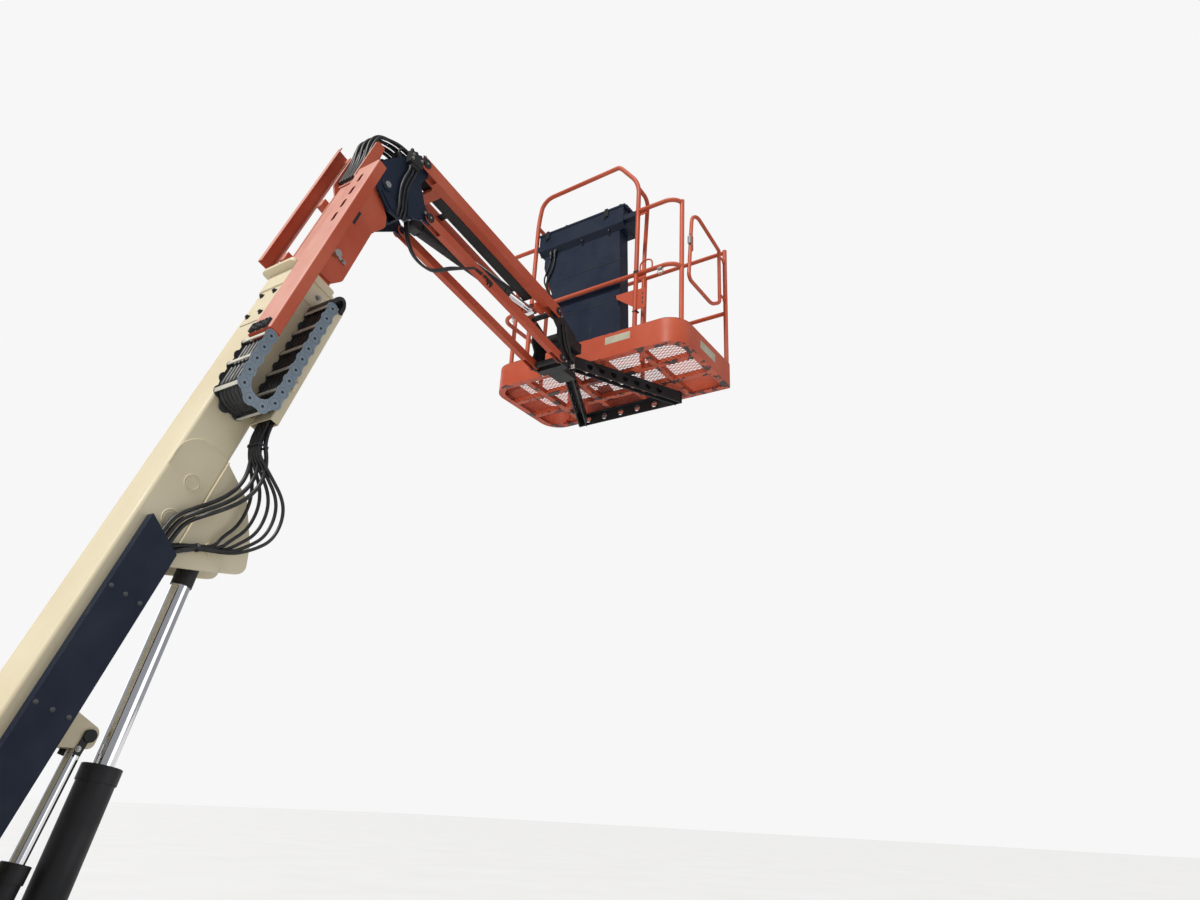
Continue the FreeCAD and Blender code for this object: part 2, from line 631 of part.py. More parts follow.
for low_y in (fly_side + gap, -pad_side - 1):
    pieces.append(block("side_pad", mouth, (-165, low_y, -50), "120",
                        str(pad_side + 1 - fly_side - gap), "100"))
bore = cross_pin("pivot_bore", boom, 0, 0, "boom_pin + pin_fit", 120)
parts["boom_base"] = cut("boom_base", fuse("boom_base_body", pieces), [bore])

# Plain cover plate box along the right side of the boom
cover_end = 180 + size("cover_length")
cover = [(180, -80), (1225, -92), (cover_end, 52), (260, 52), (180, 10)]
depth = size("cover_depth")
face = boom.multiply(at(0, -half_wide - gap - depth, 0))
room = [(187, -73), (1246, -85), (cover_end + 25, 46), (262, 46), (187, 6)]
parts["side_cover"] = cut("side_cover", plate("cover_body", face, cover, 0, "cover_depth"), [
    plate("cover_room", face, room, 3, "cover_depth")])

# Open-ended duct for the hoses under the power track
trough_low = -128.5
trough_y = -half_wide - gap - size("trough_width") / 2
parts["hose_trough"] = fuse("hose_trough", [
    box_tube("hose_trough", mouth, -755, "trough_length", trough_y,
             trough_low + size("trough_depth") / 2, size("trough_width"), size("trough_depth"),
             size("trough_wall"), 6)])

# Power track: a loop of round links with cross bars, resting on the duct, behind the boom's mouth
loop_radius = size("track_radius")
low_run = trough_low + size("trough_depth") + gap + size("link_round")
loop_s = -691
loop_h = low_run + loop_radius
run_top = -491 - loop_s
run_low = -145 - loop_s
arc = math.pi * loop_radius
pitch = size("track_pitch")
count = int((run_top + arc + run_low) / pitch)
stations = []
for i in range(count + 1):
    d = i * pitch
    if d <= run_top:
        stations.append(Vector(loop_s + run_top - d, 0, loop_h + loop_radius))
    elif d <= run_top + arc:
        a = (d - run_top) / loop_radius
        stations.append(Vector(loop_s - loop_radius * math.sin(a), 0,
                               loop_h + loop_radius * math.cos(a)))
    else:
        stations.append(Vector(loop_s + d - run_top - arc, 0, low_run))
near_y = -size("track_width") - half_wide - 7
far_y = -half_wide - 7
thick = size("track_plate")
solids = []
for i, spot in enumerate(stations):
    for start in (near_y, far_y - thick):
        solids.append(Part.makeCylinder(size("link_round"), thick,
                                        Vector(spot.x, start, spot.z), Vector(0, 1, 0)))
    solids.append(Part.makeCylinder(6, far_y - near_y - thick,
                                    Vector(spot.x, near_y + thick / 2, spot.z), Vector(0, 1, 0)))
for first, last in zip(stations, stations[1:]):
    way = last - first
    side = Vector(-way.z, 0, way.x).normalize() * 15
    ring = [first + side, last + side, last - side, first - side, first + side]
    for start in (near_y + 1, far_y - thick + 1):
        strip = Part.Face(Part.makePolygon([v + Vector(0, start, 0) for v in ring]))
        solids.append(strip.extrude(Vector(0, thick - 2, 0)))
chain = solids[0].fuse(solids[1:]).removeSplitter()
parts["power_track"] = shaped("power_track", mouth, chain)

# Fly boom with its head plates, nose lugs, hose guard and rear wear pads
fly_start = size("fly_start")
nose_x = size("nose_reach")
nose_h = -size("nose_drop")
tube = box_tube("fly_box", boom, fly_start, "boom_length + fly_reach - fly_start", 0, 0,
                size("fly_width"), size("fly_depth"), size("fly_wall"), 12)
window = block("fly_window", mouth, (187, -58, -90), "fly_reach - 175", "116", "30")
head = [(75, 17), (83, -73, 10), (141, -111, 30), (505, -111, 30), (600, -155, 40),
        (656, -133, 20), (777, 0), (825, 44, 15), (985, 58, 10), (985, 110, 20), (687, 110, 20),
        (640, 76), (75, 76)]
pieces = [cut("fly_box_open", tube, [window])]
for low_y in (-fly_side - size("head_plate"), fly_side):
    pieces.append(plate("head_side", mouth, head, low_y, "head_plate"))
lug = [(545, -72), (705, -90, 20), (nose_x + 50, nose_h - 50, 48), (nose_x + 50, nose_h + 50, 48),
       (725, 60, 20), (545, 72)]
for low_y in (-64.5, 40):
    pieces.append(plate("nose_lug", mouth, lug, low_y, "24.5",
                        ((nose_x, nose_h, size("nose_pin") + fit),)))
pieces.append(block("guard_floor", mouth, (691, -71, 78), "290", "142", "6"))
slave_foot = (225, -18)
pieces.append(cross_pin("slave_foot_pin", mouth, slave_foot[0], slave_foot[1], "12", 78))
for low_z in (fly_half - 1, -pad_reach + gap):
    pieces.append(block("rear_pad", boom, (fly_start + 5, -50, low_z), "90", "100",
                        str(pad_reach - gap - fly_half + 1)))
for low_y in (fly_side - 1, -pad_side + gap):
    pieces.append(block("rear_side_pad", boom, (fly_start + 5, low_y, -50), "90",
                        str(pad_side - gap - fly_side + 1), "100"))
parts["fly_boom"] = fuse("fly_boom", pieces)

# Push tube that draws the power track, with slots in its top
tube_top = 62 + size("tube_depth") / 2
tube_y = -105 - size("tube_width") / 2
tube = box_tube("push_box", mouth, -size("tube_behind"), "tube_behind + tube_reach", tube_y,
                tube_top, size("tube_width"), size("tube_depth"), 4, 8)
slots = []
for s in (285, 385, 485, 585):
    corners = rectangle(s - 32, s + 32, tube_y - 11, tube_y + 11, 10.5)
    slots.append(slab("tube_slot", mouth, corners, tube_top, "60"))
pieces = [cut("push_slotted", tube, slots)]
for s, length in ((125, "50"), (525, "80")):
    pieces.append(block("tube_bracket", mouth, (s, -106, 64), length,
                        str(26 - size("head_plate") + 10 - gap), "11"))
parts["push_tube"] = fuse("push_tube", pieces)

# Hose channel on the left side of the fly boom
channel = [[(110, 100), (138, 100), (138, 167), (110, 167), (110, 163), (134, 163), (134, 104),
            (110, 104)]]
pieces = [section("channel_shell", mouth, 57, channel, "898")]
for s in (125, 535):
    pieces.append(block("channel_bracket", mouth, (s, fly_side + size("head_plate") + gap, 52), "50",
                        "34", "50"))
parts["fly_channel"] = fuse("fly_channel", pieces)

# Knuckle at the fly's nose: two plates, webs and the jib's near pins
view = [(-56, -52, 48), (30, -134, 25), (105, -134, 20), (250, -33, 20), (317, -33, 27.5),
        (317, 10, 24), (286, 30, 20), (252, 62, 20), (205, 165, 30), (244, 232, 20), (244, 323, 37.5),
        (150, 323, 40), (-56, 112, 40)]
knuckle_y = 92
u1 = upper_near - nose
l1 = lower_near - nose
slave_head = Vector(75, 0, -106)
pieces = []
for low_y in (-knuckle_y - size("knuckle_plate"), knuckle_y):
    pieces.append(plate("knuckle_side", tip, view, low_y, "knuckle_plate"))
pieces.append(block("knuckle_web", tip, (108, -knuckle_y - 1, -125), "12",
                    str(2 * knuckle_y + 2), "158"))
pieces.append(block("knuckle_tie", tip, (138, -knuckle_y - 1, 230), "12",
                    str(2 * knuckle_y + 2), "50"))
slave_lug = [(110, -134), (48, -134, 25), (48, -78, 25), (110, -78)]
for low_y in (-34, 22):
    pieces.append(plate("slave_lug", tip, slave_lug, low_y, "12"))
pieces.append(cross_pin("nose_pin", tip, 0, 0, "nose_pin", 110))
pieces.append(cross_pin("upper_near_pin", tip, u1.x, u1.z, "jib_pin", 131))
for start in (knuckle_y - 12, -122):
    pieces.append(cylinder("lower_near_pin", tip, (l1.x, start, l1.z), (0, 1, 0), "jib_pin",
                           str(122 - knuckle_y + 12)))
pieces += pin_heads("slave_head_pin", tip, slave_head.x, slave_head.z, "12", 34, 5)
parts["knuckle"] = fuse("knuckle", pieces)
slave_start = on_boom(size("boom_length") + slave_foot[0], slave_foot[1])
hydraulic("slave", slave_start, nose + slave_head, 440, 52, 4,
          ("slave_barrel", "slave_rod"),
          (12, 26, 20, 12, 22, 14))

# Jib: two upper and two lower arms, open at the ends to straddle the lugs
jib = size("jib_length")


def arm(name, frame, inner_y, width, depth, wall):
    half = depth / 2
    end = half - 0.5
    body = [(-half, -half, end), (jib + half, -half, end), (jib + half, half, end),
            (-half, half, end)]
    hole = size("jib_pin") + fit
    shell = plate(name + "_shell", frame, body, inner_y, str(width), ((0, 0, hole), (jib, 0, hole)))
    room = inner_y + wall
    span = str(width - 2 * wall)
    hollow = block(name + "_hollow", frame, (-100, room, -half + wall), str(jib + 200), span,
                   str(depth - 2 * wall))
    near = block(name + "_near", frame, (-100, room, -60), "200", span, "120")
    far = block(name + "_far", frame, (jib - 100, room, -60), "200", span, "120")
    return cut(name, shell, [hollow, near, far])


upper_y = size("arm_spacing") / 2 - size("upper_arm_width") / 2
pieces = []
for start in (upper_y, -upper_y - size("upper_arm_width")):
    pieces.append(arm("upper_arm", upper_jib, start, size("upper_arm_width"),
                      size("upper_arm_depth"), 5))
pieces.append(block("arm_web", upper_jib, (130, -upper_y - 1, -30), "60", str(2 * upper_y + 2),
                    "30"))
jib_eye = (1130, -40)
eye_lug = [(1085, -34), (1098, -71, 20), (1162, -71, 20), (1175, -34)]
for start in (-upper_y - 3, 52):
    pieces.append(plate("jib_eye_lug", upper_jib, eye_lug, start, str(upper_y + 3 - 52)))
pieces.append(cross_pin("jib_eye_pin", upper_jib, jib_eye[0], jib_eye[1], "16", 53))
parts["jib_upper_arms"] = fuse("jib_upper_arms", pieces)

lower_y = size("arm_spacing") / 2 - size("lower_arm_width") / 2 - 0.5
for start, label in ((lower_y, "left"), (-lower_y - size("lower_arm_width"), "right")):
    name = "jib_lower_arm_" + label
    parts[name] = arm(name, lower_jib, start, size("lower_arm_width"), size("lower_arm_depth"), 4)
tray_half = size("tray_width") / 2
channel = [(-tray_half, 5), (tray_half, 5), (tray_half, 5 + size("tray_depth")),
           (tray_half - 3, 5 + size("tray_depth")), (tray_half - 3, 8), (3 - tray_half, 8),
           (3 - tray_half, 5 + size("tray_depth")), (-tray_half, 5 + size("tray_depth"))]
pieces = [section("tray_channel", upper_jib, 210, [channel], "870")]
for x in (300, 940):
    pieces.append(block("tray_tab", upper_jib, (x, gap - upper_y, 4), "40",
                        str(2 * upper_y - 2 * gap), "4"))
parts["jib_tray"] = fuse("jib_tray", pieces)
jib_turn = Rotation(Vector(0, -1, 0), size("jib_angle"))
jib_head = upper_near + jib_turn.multVec(Vector(jib_eye[0], 0, jib_eye[1]))
jib_frame = hydraulic("jib", lower_near, jib_head, 780, 258, 210,
                      ("jib_barrel", "jib_rod"),
                      (18, 32, 30, 16, 28, 30), open_foot=True)

# Jib end: lug plates, and the post the platform turns on
post_x = size("rotator_reach")
drop = size("jib_drop")
step = size("jib_step")
view = [(-36, 36, 35.5), (-36, -30, 35), (38, -92, 15), (44, -150, 20), (72, -196, 15),
        (55, -262, 20), (55, -318, 27.5), (178, -318, 20), (178, -150, 20), (230, -108, 20),
        (230, -56, 30), (36, 36, 35.5)]
pieces = []
for low_y in (-knuckle_y - size("knuckle_plate"), knuckle_y):
    pieces.append(plate("end_side", jib_end, view, low_y, "knuckle_plate"))
web = 2 * knuckle_y + 2
pieces.append(block("end_block", jib_end, (120, -knuckle_y - 1, -138), str(post_x + 40 - 120),
                    str(web), "70"))
pieces.append(block("end_foot", jib_end, (119, -knuckle_y - 1, -318), "59", str(web), "70"))
pieces.append(block("end_shelf", jib_end, (150, -60, -318), str(post_x + 40 - 150), "120", "40"))
pieces.append(cylinder("end_post", jib_end, (post_x, 0, -318), (0, 0, 1), "45", "200"))
pieces.append(cross_pin("upper_far_pin", jib_end, 0, 0, "jib_pin", 131))
pieces.append(cross_pin("lower_far_pin", jib_end, step, -drop, "jib_pin", 122))
parts["jib_end_support"] = fuse("jib_end_support", pieces)

# Platform support: turning hub, two holed arms and a holed cross beam
mount = jib_end.multiply(at(post_x, 0, -size("floor_drop")))
support = size("support_depth")
under = -gap - support
pieces = [cylinder("turn_hub", mount, (0, 0, -support - 40), (0, 0, 1), "rotator_radius",
                   "support_depth + 30")]
near_edge = size("near_edge") - post_x
beam_x = near_edge + 660
arm_angle = math.degrees(math.atan2(400, beam_x))
arm_length = math.hypot(400, beam_x)
for side in (-1, 1):
    arm_frame = mount.multiply(Placement(Vector(), Rotation(Vector(0, 0, 1), side * arm_angle)))
    for low_y in (-30, 22):
        holes = [(170 + 92 * i, under + support / 2, size("hole_radius")) for i in range(7)]
        flank = [(40, under), (arm_length, under), (arm_length, -gap), (40, -gap)]
        pieces.append(plate("support_flank", arm_frame, flank, low_y, "support_plate", holes))
    pieces.append(block("support_cap", arm_frame, (40, -30, -gap - 6), str(arm_length - 40), "60",
                        "6"))
beam = [(-430, under), (430, under), (430, -gap), (-430, -gap)]
turn = mount.multiply(Placement(Vector(beam_x, 0, 0), Rotation(Vector(0, 0, 1), 90)))
holes = [(-350 + 140 * i, under + support / 2, size("hole_radius")) for i in range(6)]
pieces.append(plate("cross_web", turn, beam, -4, "support_plate", holes))
pieces.append(block("cross_cap", mount, (beam_x - 30, -430, -gap - 6), "60", "860", "6"))
bore = cylinder("turn_bore", mount, (0, 0, -support - 60), (0, 0, 1), "45 + pin_fit", "160")
parts["platform_support"] = cut("platform_support", fuse("support_body", pieces), [bore])

# Platform floor: toe board all round, flange and floor bars
wide = size("platform_width") / 2
deep = size("platform_depth")
round_corner = size("platform_corner")
thin = size("sheet_metal")


def floor_outline(inset):
    radius = round_corner - inset
    return [(inset, inset - wide, radius), (deep - inset, inset - wide, max(20 - inset, 4)),
            (deep - inset, wide - inset, radius), (inset, wide - inset, radius)]


def ring_slab(name, outer, inner, z_low, height):
    edges = outline_edges(floor_outline(outer)) + outline_edges(floor_outline(inner))
    flat = floor_frame.multiply(at(0, 0, z_low))
    return extrusion(name, sketch_of(name, flat, edges), height)


pieces = [ring_slab("toe_wall", 0, thin, 0, "toe_board"), ring_slab("floor_flange", 0, 45, 0, "5")]
for x in (240, 480):
    pieces.append(block("floor_long", floor_frame, (x, 3 - wide, 0), "40",
                        "platform_width - 6", "36"))
for y in (-456, -152, 152, 456):
    pieces.append(block("floor_cross", floor_frame, (3, y - 20, 0), "platform_depth - 6", "40",
                        "36"))
parts["platform_frame"] = fuse("platform_frame", pieces)

# Guard rails, each with how much thinner it is: hoop and posts, top and middle rails, braces
rail = size("rail_radius")
mesh_inset = thin + gap
inset = mesh_inset + rail
top_z = size("rail_height")
mid_z = size("mid_rail")
hoop = size("hoop_height")
post_z = 41
left = wide - inset
right = inset - wide
back = inset
front = deep - inset
front_post_y = (right, -60, left - 140)
post_y = (-415, 470)
post_top = top_z + rail
RAILS = (
    (0, [(back, post_y[1], post_z), (back, post_y[1], 1370), (back, 440, hoop - 20),
         (back, -240, hoop), (back, -270, hoop - 30), (back, post_y[0], 1380),
         (back, post_y[0], post_z)]),
    (0, [(90, -723, post_top), (90, -723, post_z)]),
    (0, [(front, right, post_top), (front, right, post_z)]),
    (0, [(front, front_post_y[2], top_z), (front, front_post_y[2], post_z)]),
    (0, [(back + 150, left, top_z), (back + 150, left, post_z)]),
    (0, [(front, front_post_y[1], top_z), (front, front_post_y[1], post_z)]),
    (0.7, [(back, post_y[1], top_z), (back, left, top_z), (front, left, top_z),
           (front, right, top_z)]),
    (0.7, [(back, post_y[0], mid_z), (back, left, mid_z), (front, left, mid_z),
           (front, right, mid_z)]),
    (0.7, [(back, post_y[0], top_z), (back, -655, top_z), (48, -702, top_z), (90, -723, top_z)]),
    (0.7, [(back, post_y[0], mid_z), (back, -655, mid_z), (48, -702, mid_z), (90, -723, mid_z)]),
    (1.3, [(back, post_y[0], 1330), (160, -410, 1330), (215, -360, 900), (215, -360, post_z)]),
    (1.3, [(back, post_y[1], 1330), (160, 478, 1330), (215, 478, 900), (215, 478, post_z)]),
)
bars = [bent_bar(points, rail - thinner, 90) for thinner, points in RAILS]
rails = bars[0].fuse(bars[1:]).removeSplitter()
parts["platform_rails"] = shaped("platform_rails", floor_frame, rails)

# Floor mesh in two sheets that meet over a bar, the front one notched round the posts
sheet_split = 260
notch = rail + 4
whole = slab("floor_sheet", floor_frame, floor_outline(mesh_inset), 36 + gap, "4")
cuts = [block("sheet_joint", floor_frame, (sheet_split - 2, -wide, 30), "4", "platform_width", "20")]
for y in front_post_y:
    cuts.append(block("post_notch", floor_frame, (front - notch, y - notch, 30), "60",
                      str(2 * notch), "20"))
parts["platform_mesh"] = cut("platform_mesh", whole, cuts)

# Entry gate in the right side, hinged by the front corner post
hinge_x = front - rail - gap - 9
frame_bar = bent_bar([(640, right, 1083), (290, right, 1143), (206, right, 1079),
                      (160, right, 545), (508, right, 545), (606, right, 609),
                      (640, right, 640), (640, right, 1083 - 2)], 13, 45)
bars = [frame_bar]
for z in (690, 1020):
    bars.append(Part.makeCylinder(9, 34, Vector(hinge_x, right, z)))
    bars.append(Part.makeBox(hinge_x - 640, 8, 20, Vector(640, right - 4, z + 7)))
latch = Part.makeBox(46, 10, 120, Vector(172, right - 5, 800))
bars.append(latch)
gate = bars[0].fuse(bars[1:]).removeSplitter()
parts["gate"] = shaped("gate", floor_frame, gate)

# Control console in its guard, over a tapered cover
box_view = rectangle(-300, 440, 1060, 1240, 14)
pieces = [section("console_box", floor_frame, 44, [box_view], "150")]
pieces.append(section("console_lid", floor_frame, 40, [rectangle(-310, 450, 1228, 1252, 8)],
                      "160"))
taper = [(-290, 200, 10), (140, 200, 40), (400, 950, 20), (400, 1065), (-250, 1065)]
pieces.append(section("console_cover", floor_frame, 46, [taper], "110"))
for y in (post_y[0] + rail + gap, 430):
    ends = post_y[1] - rail - gap if y > 0 else -295
    pieces.append(block("console_arm", floor_frame, (17, y, 1100), "43", str(ends - y), "40"))
parts["console"] = fuse("console", pieces)

# Hoses: each a whole run, from the duct's floor, round in a loop and into the side cover
hose = size("hose_radius")
floor_h = trough_low + size("trough_wall") + gap + hose
cover_y = -half_wide - depth + 3 + hose
for i in range(3):
    y = -140 - 22 * i
    drop_h = 21 * i
    route = [(1900, y, floor_h), (1765, y, floor_h), (1690, y + 4, -140 - drop_h),
             (1610, y + 8, -164 - drop_h), (1530, y + 8, -148 - drop_h),
             (1455, y + 6, -104 - drop_h), (1390, y + 3, -52 - drop_h),
             (1345, cover_y - 3, -20 - 21 * i), (1280, cover_y, -10 - 21 * i),
             (1190, cover_y, -6 - 21 * i)]
    name = "boom_hose_%d" % (i + 1)
    parts[name] = shaped(name, boom, bent_bar(route, hose, 1000))

# Steel oil pipe along the top of the jib cylinder's barrel
parts["jib_pipe"] = fuse("jib_pipe", [
    cylinder("jib_pipe_run", jib_frame, (90, 0, size("jib_barrel") + 4 + gap + 7), (1, 0, 0), "7",
             "664")])

doc.recompute()
os.makedirs("parts", exist_ok=True)
for item in doc.Objects:
    if "Invalid" in item.State or "Error" in item.State:
        raise RuntimeError("%s did not build: %s" % (item.Label, item.State))
for name, item in parts.items():
    item.Label = name
    shape = item.Shape
    if shape.isNull() or not shape.isValid():
        raise RuntimeError("%s has no valid shape" % name)
    shape.exportStep("parts/%s.step" % name)
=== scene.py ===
import json
import math

import bmesh
import bpy
from mathutils import Matrix, Vector, geometry


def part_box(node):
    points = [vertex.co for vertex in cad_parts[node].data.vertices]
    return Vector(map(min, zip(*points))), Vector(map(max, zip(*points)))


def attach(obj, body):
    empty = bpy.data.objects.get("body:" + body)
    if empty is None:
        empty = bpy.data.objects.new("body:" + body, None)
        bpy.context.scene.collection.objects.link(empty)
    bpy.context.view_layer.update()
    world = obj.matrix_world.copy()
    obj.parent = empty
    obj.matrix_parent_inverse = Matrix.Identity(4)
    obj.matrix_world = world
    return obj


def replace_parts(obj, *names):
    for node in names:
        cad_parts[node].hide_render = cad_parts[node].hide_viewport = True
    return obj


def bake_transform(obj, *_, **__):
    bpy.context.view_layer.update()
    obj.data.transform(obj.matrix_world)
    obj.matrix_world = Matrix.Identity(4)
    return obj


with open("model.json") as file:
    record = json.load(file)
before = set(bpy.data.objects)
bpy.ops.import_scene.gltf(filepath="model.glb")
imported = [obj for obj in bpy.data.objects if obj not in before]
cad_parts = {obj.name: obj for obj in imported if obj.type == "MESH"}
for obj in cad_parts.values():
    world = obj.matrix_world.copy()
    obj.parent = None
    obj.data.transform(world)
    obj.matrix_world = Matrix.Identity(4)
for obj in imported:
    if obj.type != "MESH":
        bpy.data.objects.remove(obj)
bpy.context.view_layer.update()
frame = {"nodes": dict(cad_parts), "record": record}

NODES = frame["nodes"]
RECORD = frame["record"]
JOINTS = {j["name"]: j for j in RECORD["behaviour"]["joints"]}


def joint_at(name):
    return Vector(JOINTS[name]["pos_m"])


def corners_of(node):
    return [Vector(corner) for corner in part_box(node)]


def put(target, **values):
    for key, value in values.items():
        setattr(target, key, value)


def show(name, data):
    item = bpy.data.objects.new(name, data)
    bpy.context.scene.collection.objects.link(item)
    return item


# Main points and directions, read from the joints
BOOM_PIVOT = joint_at("boom_lift")
ALONG = Vector(JOINTS["boom_extend"]["axis"]).normalized()
OUTWARD = Vector((-ALONG.z, 0, ALONG.x))
NOSE = joint_at("jib_level")
UPPER_NEAR, UPPER_FAR = joint_at("jib_lift"), joint_at("platform_level")
LOWER_NEAR = joint_at("jib_link")
JIB_WAY = (UPPER_FAR - UPPER_NEAR).normalized()
JIB_UP = Vector((-JIB_WAY.z, 0, JIB_WAY.x))
SWING = joint_at("swing")
FLOOR_LOW, FLOOR_HIGH = corners_of("platform_frame")
MESH_LOW, MESH_HIGH = corners_of("platform_mesh")


# A member's own frame, in which places are told along it, across the machine and outward
class Member:
    def __init__(self, body, origin, way=(1, 0, 0), over=(0, 0, 1)):
        self.body, self.origin = body, Vector(origin)
        self.way, self.over = Vector(way), Vector(over)

    def __call__(self, s, y, h):
        return self.origin + self.way * s + self.over * h + Vector((0, y, 0))


on_boom = Member("boom", BOOM_PIVOT, ALONG, OUTWARD)
on_jib = Member("jib_upper", UPPER_NEAR, JIB_WAY, JIB_UP)
on_lower_arm = Member("jib_lower", LOWER_NEAR, JIB_WAY, JIB_UP)
from_nose = Member("knuckle", NOSE)
from_jib_end = Member("jib_end", UPPER_FAR)
on_floor = Member("platform", (FLOOR_LOW.x, 0, FLOOR_LOW.z))
on_machine = Member("turntable", (SWING.x, 0, 0))

# Camera at the photograph's place and angle
VIEW_YAW, VIEW_PITCH, VIEW_ROLL = (math.radians(a) for a in (33.8, 23.6, 2.81))
FOCAL_PIXELS, PHOTO_WIDTH, SENSOR = 832, 1200, 36
EYE = SWING + Vector((-1.757, -2.849, 1.9 - SWING.z))
lens = bpy.data.cameras.new("camera")
put(lens, sensor_width=SENSOR, lens=SENSOR * FOCAL_PIXELS / PHOTO_WIDTH, clip_end=200)
camera = show("camera", lens)
camera.matrix_world = (Matrix.Translation(EYE) @ Matrix.Rotation(VIEW_YAW - math.pi / 2, 4, "Z")
                       @ Matrix.Rotation(VIEW_PITCH + math.pi / 2, 4, "X")
                       @ Matrix.Rotation(VIEW_ROLL, 4, "Z"))
bpy.context.scene.camera = camera


# Materials: every surface is made of nodes in object space
class Nodes:
    def __init__(self, name):
        self.material = bpy.data.materials.new(name)
        self.material.use_nodes = True
        self.tree = self.material.node_tree
        self.tree.nodes.clear()
        self.output = self.add("ShaderNodeOutputMaterial")
        self.shader = self.add("ShaderNodeBsdfPrincipled")
        self.join(self.shader, "BSDF", self.output, "Surface")
        self.place = self.add("ShaderNodeTexCoord")

    def add(self, kind, **values):
        node = self.tree.nodes.new(kind)
        for key, value in values.items():
            if key in node.inputs:
                node.inputs[key].default_value = value
            else:
                setattr(node, key, value)
        return node

    def join(self, source, output, target, inlet):
        self.tree.links.new(source.outputs[output], target.inputs[inlet])

    # Noise in object space, stretched along the axes
    def noise(self, scale, stretch=(1, 1, 1), detail=4.0, roughness=0.55):
        mapping = self.add("ShaderNodeMapping", Scale=stretch)
        self.join(self.place, "Object", mapping, "Vector")
        node = self.add("ShaderNodeTexNoise", Scale=scale, Detail=detail, Roughness=roughness)
        self.join(mapping, "Vector", node, "Vector")
        return node

    def ramp(self, source, output, low, high, least=0.0, most=1.0):
        node = self.add("ShaderNodeMapRange", **{"From Min": low, "From Max": high,
                                                 "To Min": least, "To Max": most})
        self.join(source, output, node, "Value")
        return node

    # Sum, product and the like of fixed values and of (node, output) pairs
    def compute(self, operation, *values):
        node = self.add("ShaderNodeMath", operation=operation)
        for i, value in enumerate(values):
            if isinstance(value, tuple):
                self.join(*value, node, i)
            else:
                node.inputs[i].default_value = value
        return node

    # Mix of two colours by a mask
    def blend(self, mask, first, second):
        node = self.add("ShaderNodeMix", data_type="RGBA")
        self.join(mask, "Result", node, "Factor")
        for value, index in ((first, 6), (second, 7)):
            if isinstance(value, tuple):
                node.inputs[index].default_value = (*value, 1)
            else:
                self.tree.links.new(value.outputs[2], node.inputs[index])
        return node

    def bump(self, source, strength, distance):
        node = self.add("ShaderNodeBump", Strength=strength, Distance=distance)
        self.join(source, "Fac", node, "Height")
        if self.shader.inputs["Normal"].is_linked:
            link = self.shader.inputs["Normal"].links[0]
            self.tree.links.new(link.from_socket, node.inputs["Normal"])
        self.join(node, "Normal", self.shader, "Normal")

    # Colour of the surface, with its roughness between two values by a noise
    def surface(self, tone, uneven, low, high, smoothest, roughest):
        self.join(tone, 2, self.shader, "Base Color")
        gloss = self.ramp(uneven, "Fac", low, high, smoothest, roughest)
        self.join(gloss, "Result", self.shader, "Roughness")


# Direction toward the light: faces turned this way get a painted highlight on some paints
HIGHLIGHT_SIDE = (-0.78, 0.0, 0.62)


# Weathered coat of paint: faded patches, grime streaks, chips and a faint orange peel,
# a painted highlight (lighter tint on faces toward the light), with bare chips along edges at given
# heights in object space
def paint(name, colour, faded, grime, rough=0.42, chips=(0.2, 0.15, 0.12), chip_level=0.7,
          grime_level=0.66, highlight_tint=None, sheen=0.5, worn_heights=()):
    n = Nodes(name)
    n.shader.inputs["Specular IOR Level"].default_value = sheen
    coat = n.blend(n.ramp(n.noise(1.6, detail=6), "Fac", 0.38, 0.66), colour, faded)
    # Painted highlight: a lighter, pinker tint on faces turned toward the light, patchy by a noise
    if highlight_tint:
        facing = n.add("ShaderNodeVectorMath", operation="DOT_PRODUCT")
        n.join(n.place, "Normal", facing, 0)
        facing.inputs[1].default_value = HIGHLIGHT_SIDE
        highlight_facing = n.ramp(facing, "Value", 0.3, 0.62)
        uneven = n.ramp(n.noise(4.0, (1, 1, 0.5), 7, 0.6), "Fac", 0.25, 0.6, 0.55)
        product = n.compute("MULTIPLY", (highlight_facing, "Result"), (uneven, "Result"))
        coat = n.blend(n.ramp(product, "Value", 0, 1), coat, highlight_tint)
    streak_noise = n.noise(5.0, (3.0, 3.0, 0.35), 8, 0.65)
    streaks = n.ramp(streak_noise, "Fac", grime_level, grime_level + 0.16)
    chip_noise = n.noise(46, detail=9, roughness=0.7)
    chip_mask = n.ramp(chip_noise, "Fac", chip_level, chip_level + 0.02)
    final = n.blend(chip_mask, n.blend(streaks, coat, grime), chips)
    for height, reach in worn_heights:
        split = n.add("ShaderNodeSeparateXYZ")
        n.join(n.place, "Object", split, "Vector")
        apart = n.compute("SUBTRACT", (split, "Z"), height)
        near = n.ramp(n.compute("ABSOLUTE", (apart, "Value")), "Value", reach, 0.0)
        worn = n.ramp(n.noise(17, detail=8, roughness=0.65), "Fac", 0.35, 0.65)
        total = n.compute("ADD", (near, "Result"), (worn, "Result"))
        final = n.blend(n.ramp(total, "Value", 1.45, 1.5), final, chips)
    n.surface(final, n.noise(7, detail=5), 0.3, 0.7, rough - 0.06, rough + 0.16)
    n.bump(n.noise(230, detail=2), 0.1, 0.0006)
    n.bump(chip_noise, 0.05, 0.001)
    return n.material


def metal(name, colour, rough, brushed):
    n = Nodes(name)
    n.shader.inputs["Metallic"].default_value = 1.0
    darker = tuple(0.82 * c for c in colour)
    tone = n.blend(n.ramp(n.noise(3, detail=6), "Fac", 0.3, 0.7), colour, darker)
    n.surface(tone, n.noise(60, detail=6), 0.25, 0.75, rough, rough + brushed)
    n.bump(n.noise(140), 0.08, 0.0004)
    return n.material


def rubber(name, colour, dust, rough, scale=9):
    n = Nodes(name)
    mask = n.ramp(n.noise(scale, detail=7, roughness=0.6), "Fac", 0.45, 0.75)
    n.surface(n.blend(mask, colour, dust), n.noise(20), 0.3, 0.7, rough - 0.08, rough + 0.12)
    n.bump(n.noise(300, detail=3), 0.12, 0.0005)
    return n.material


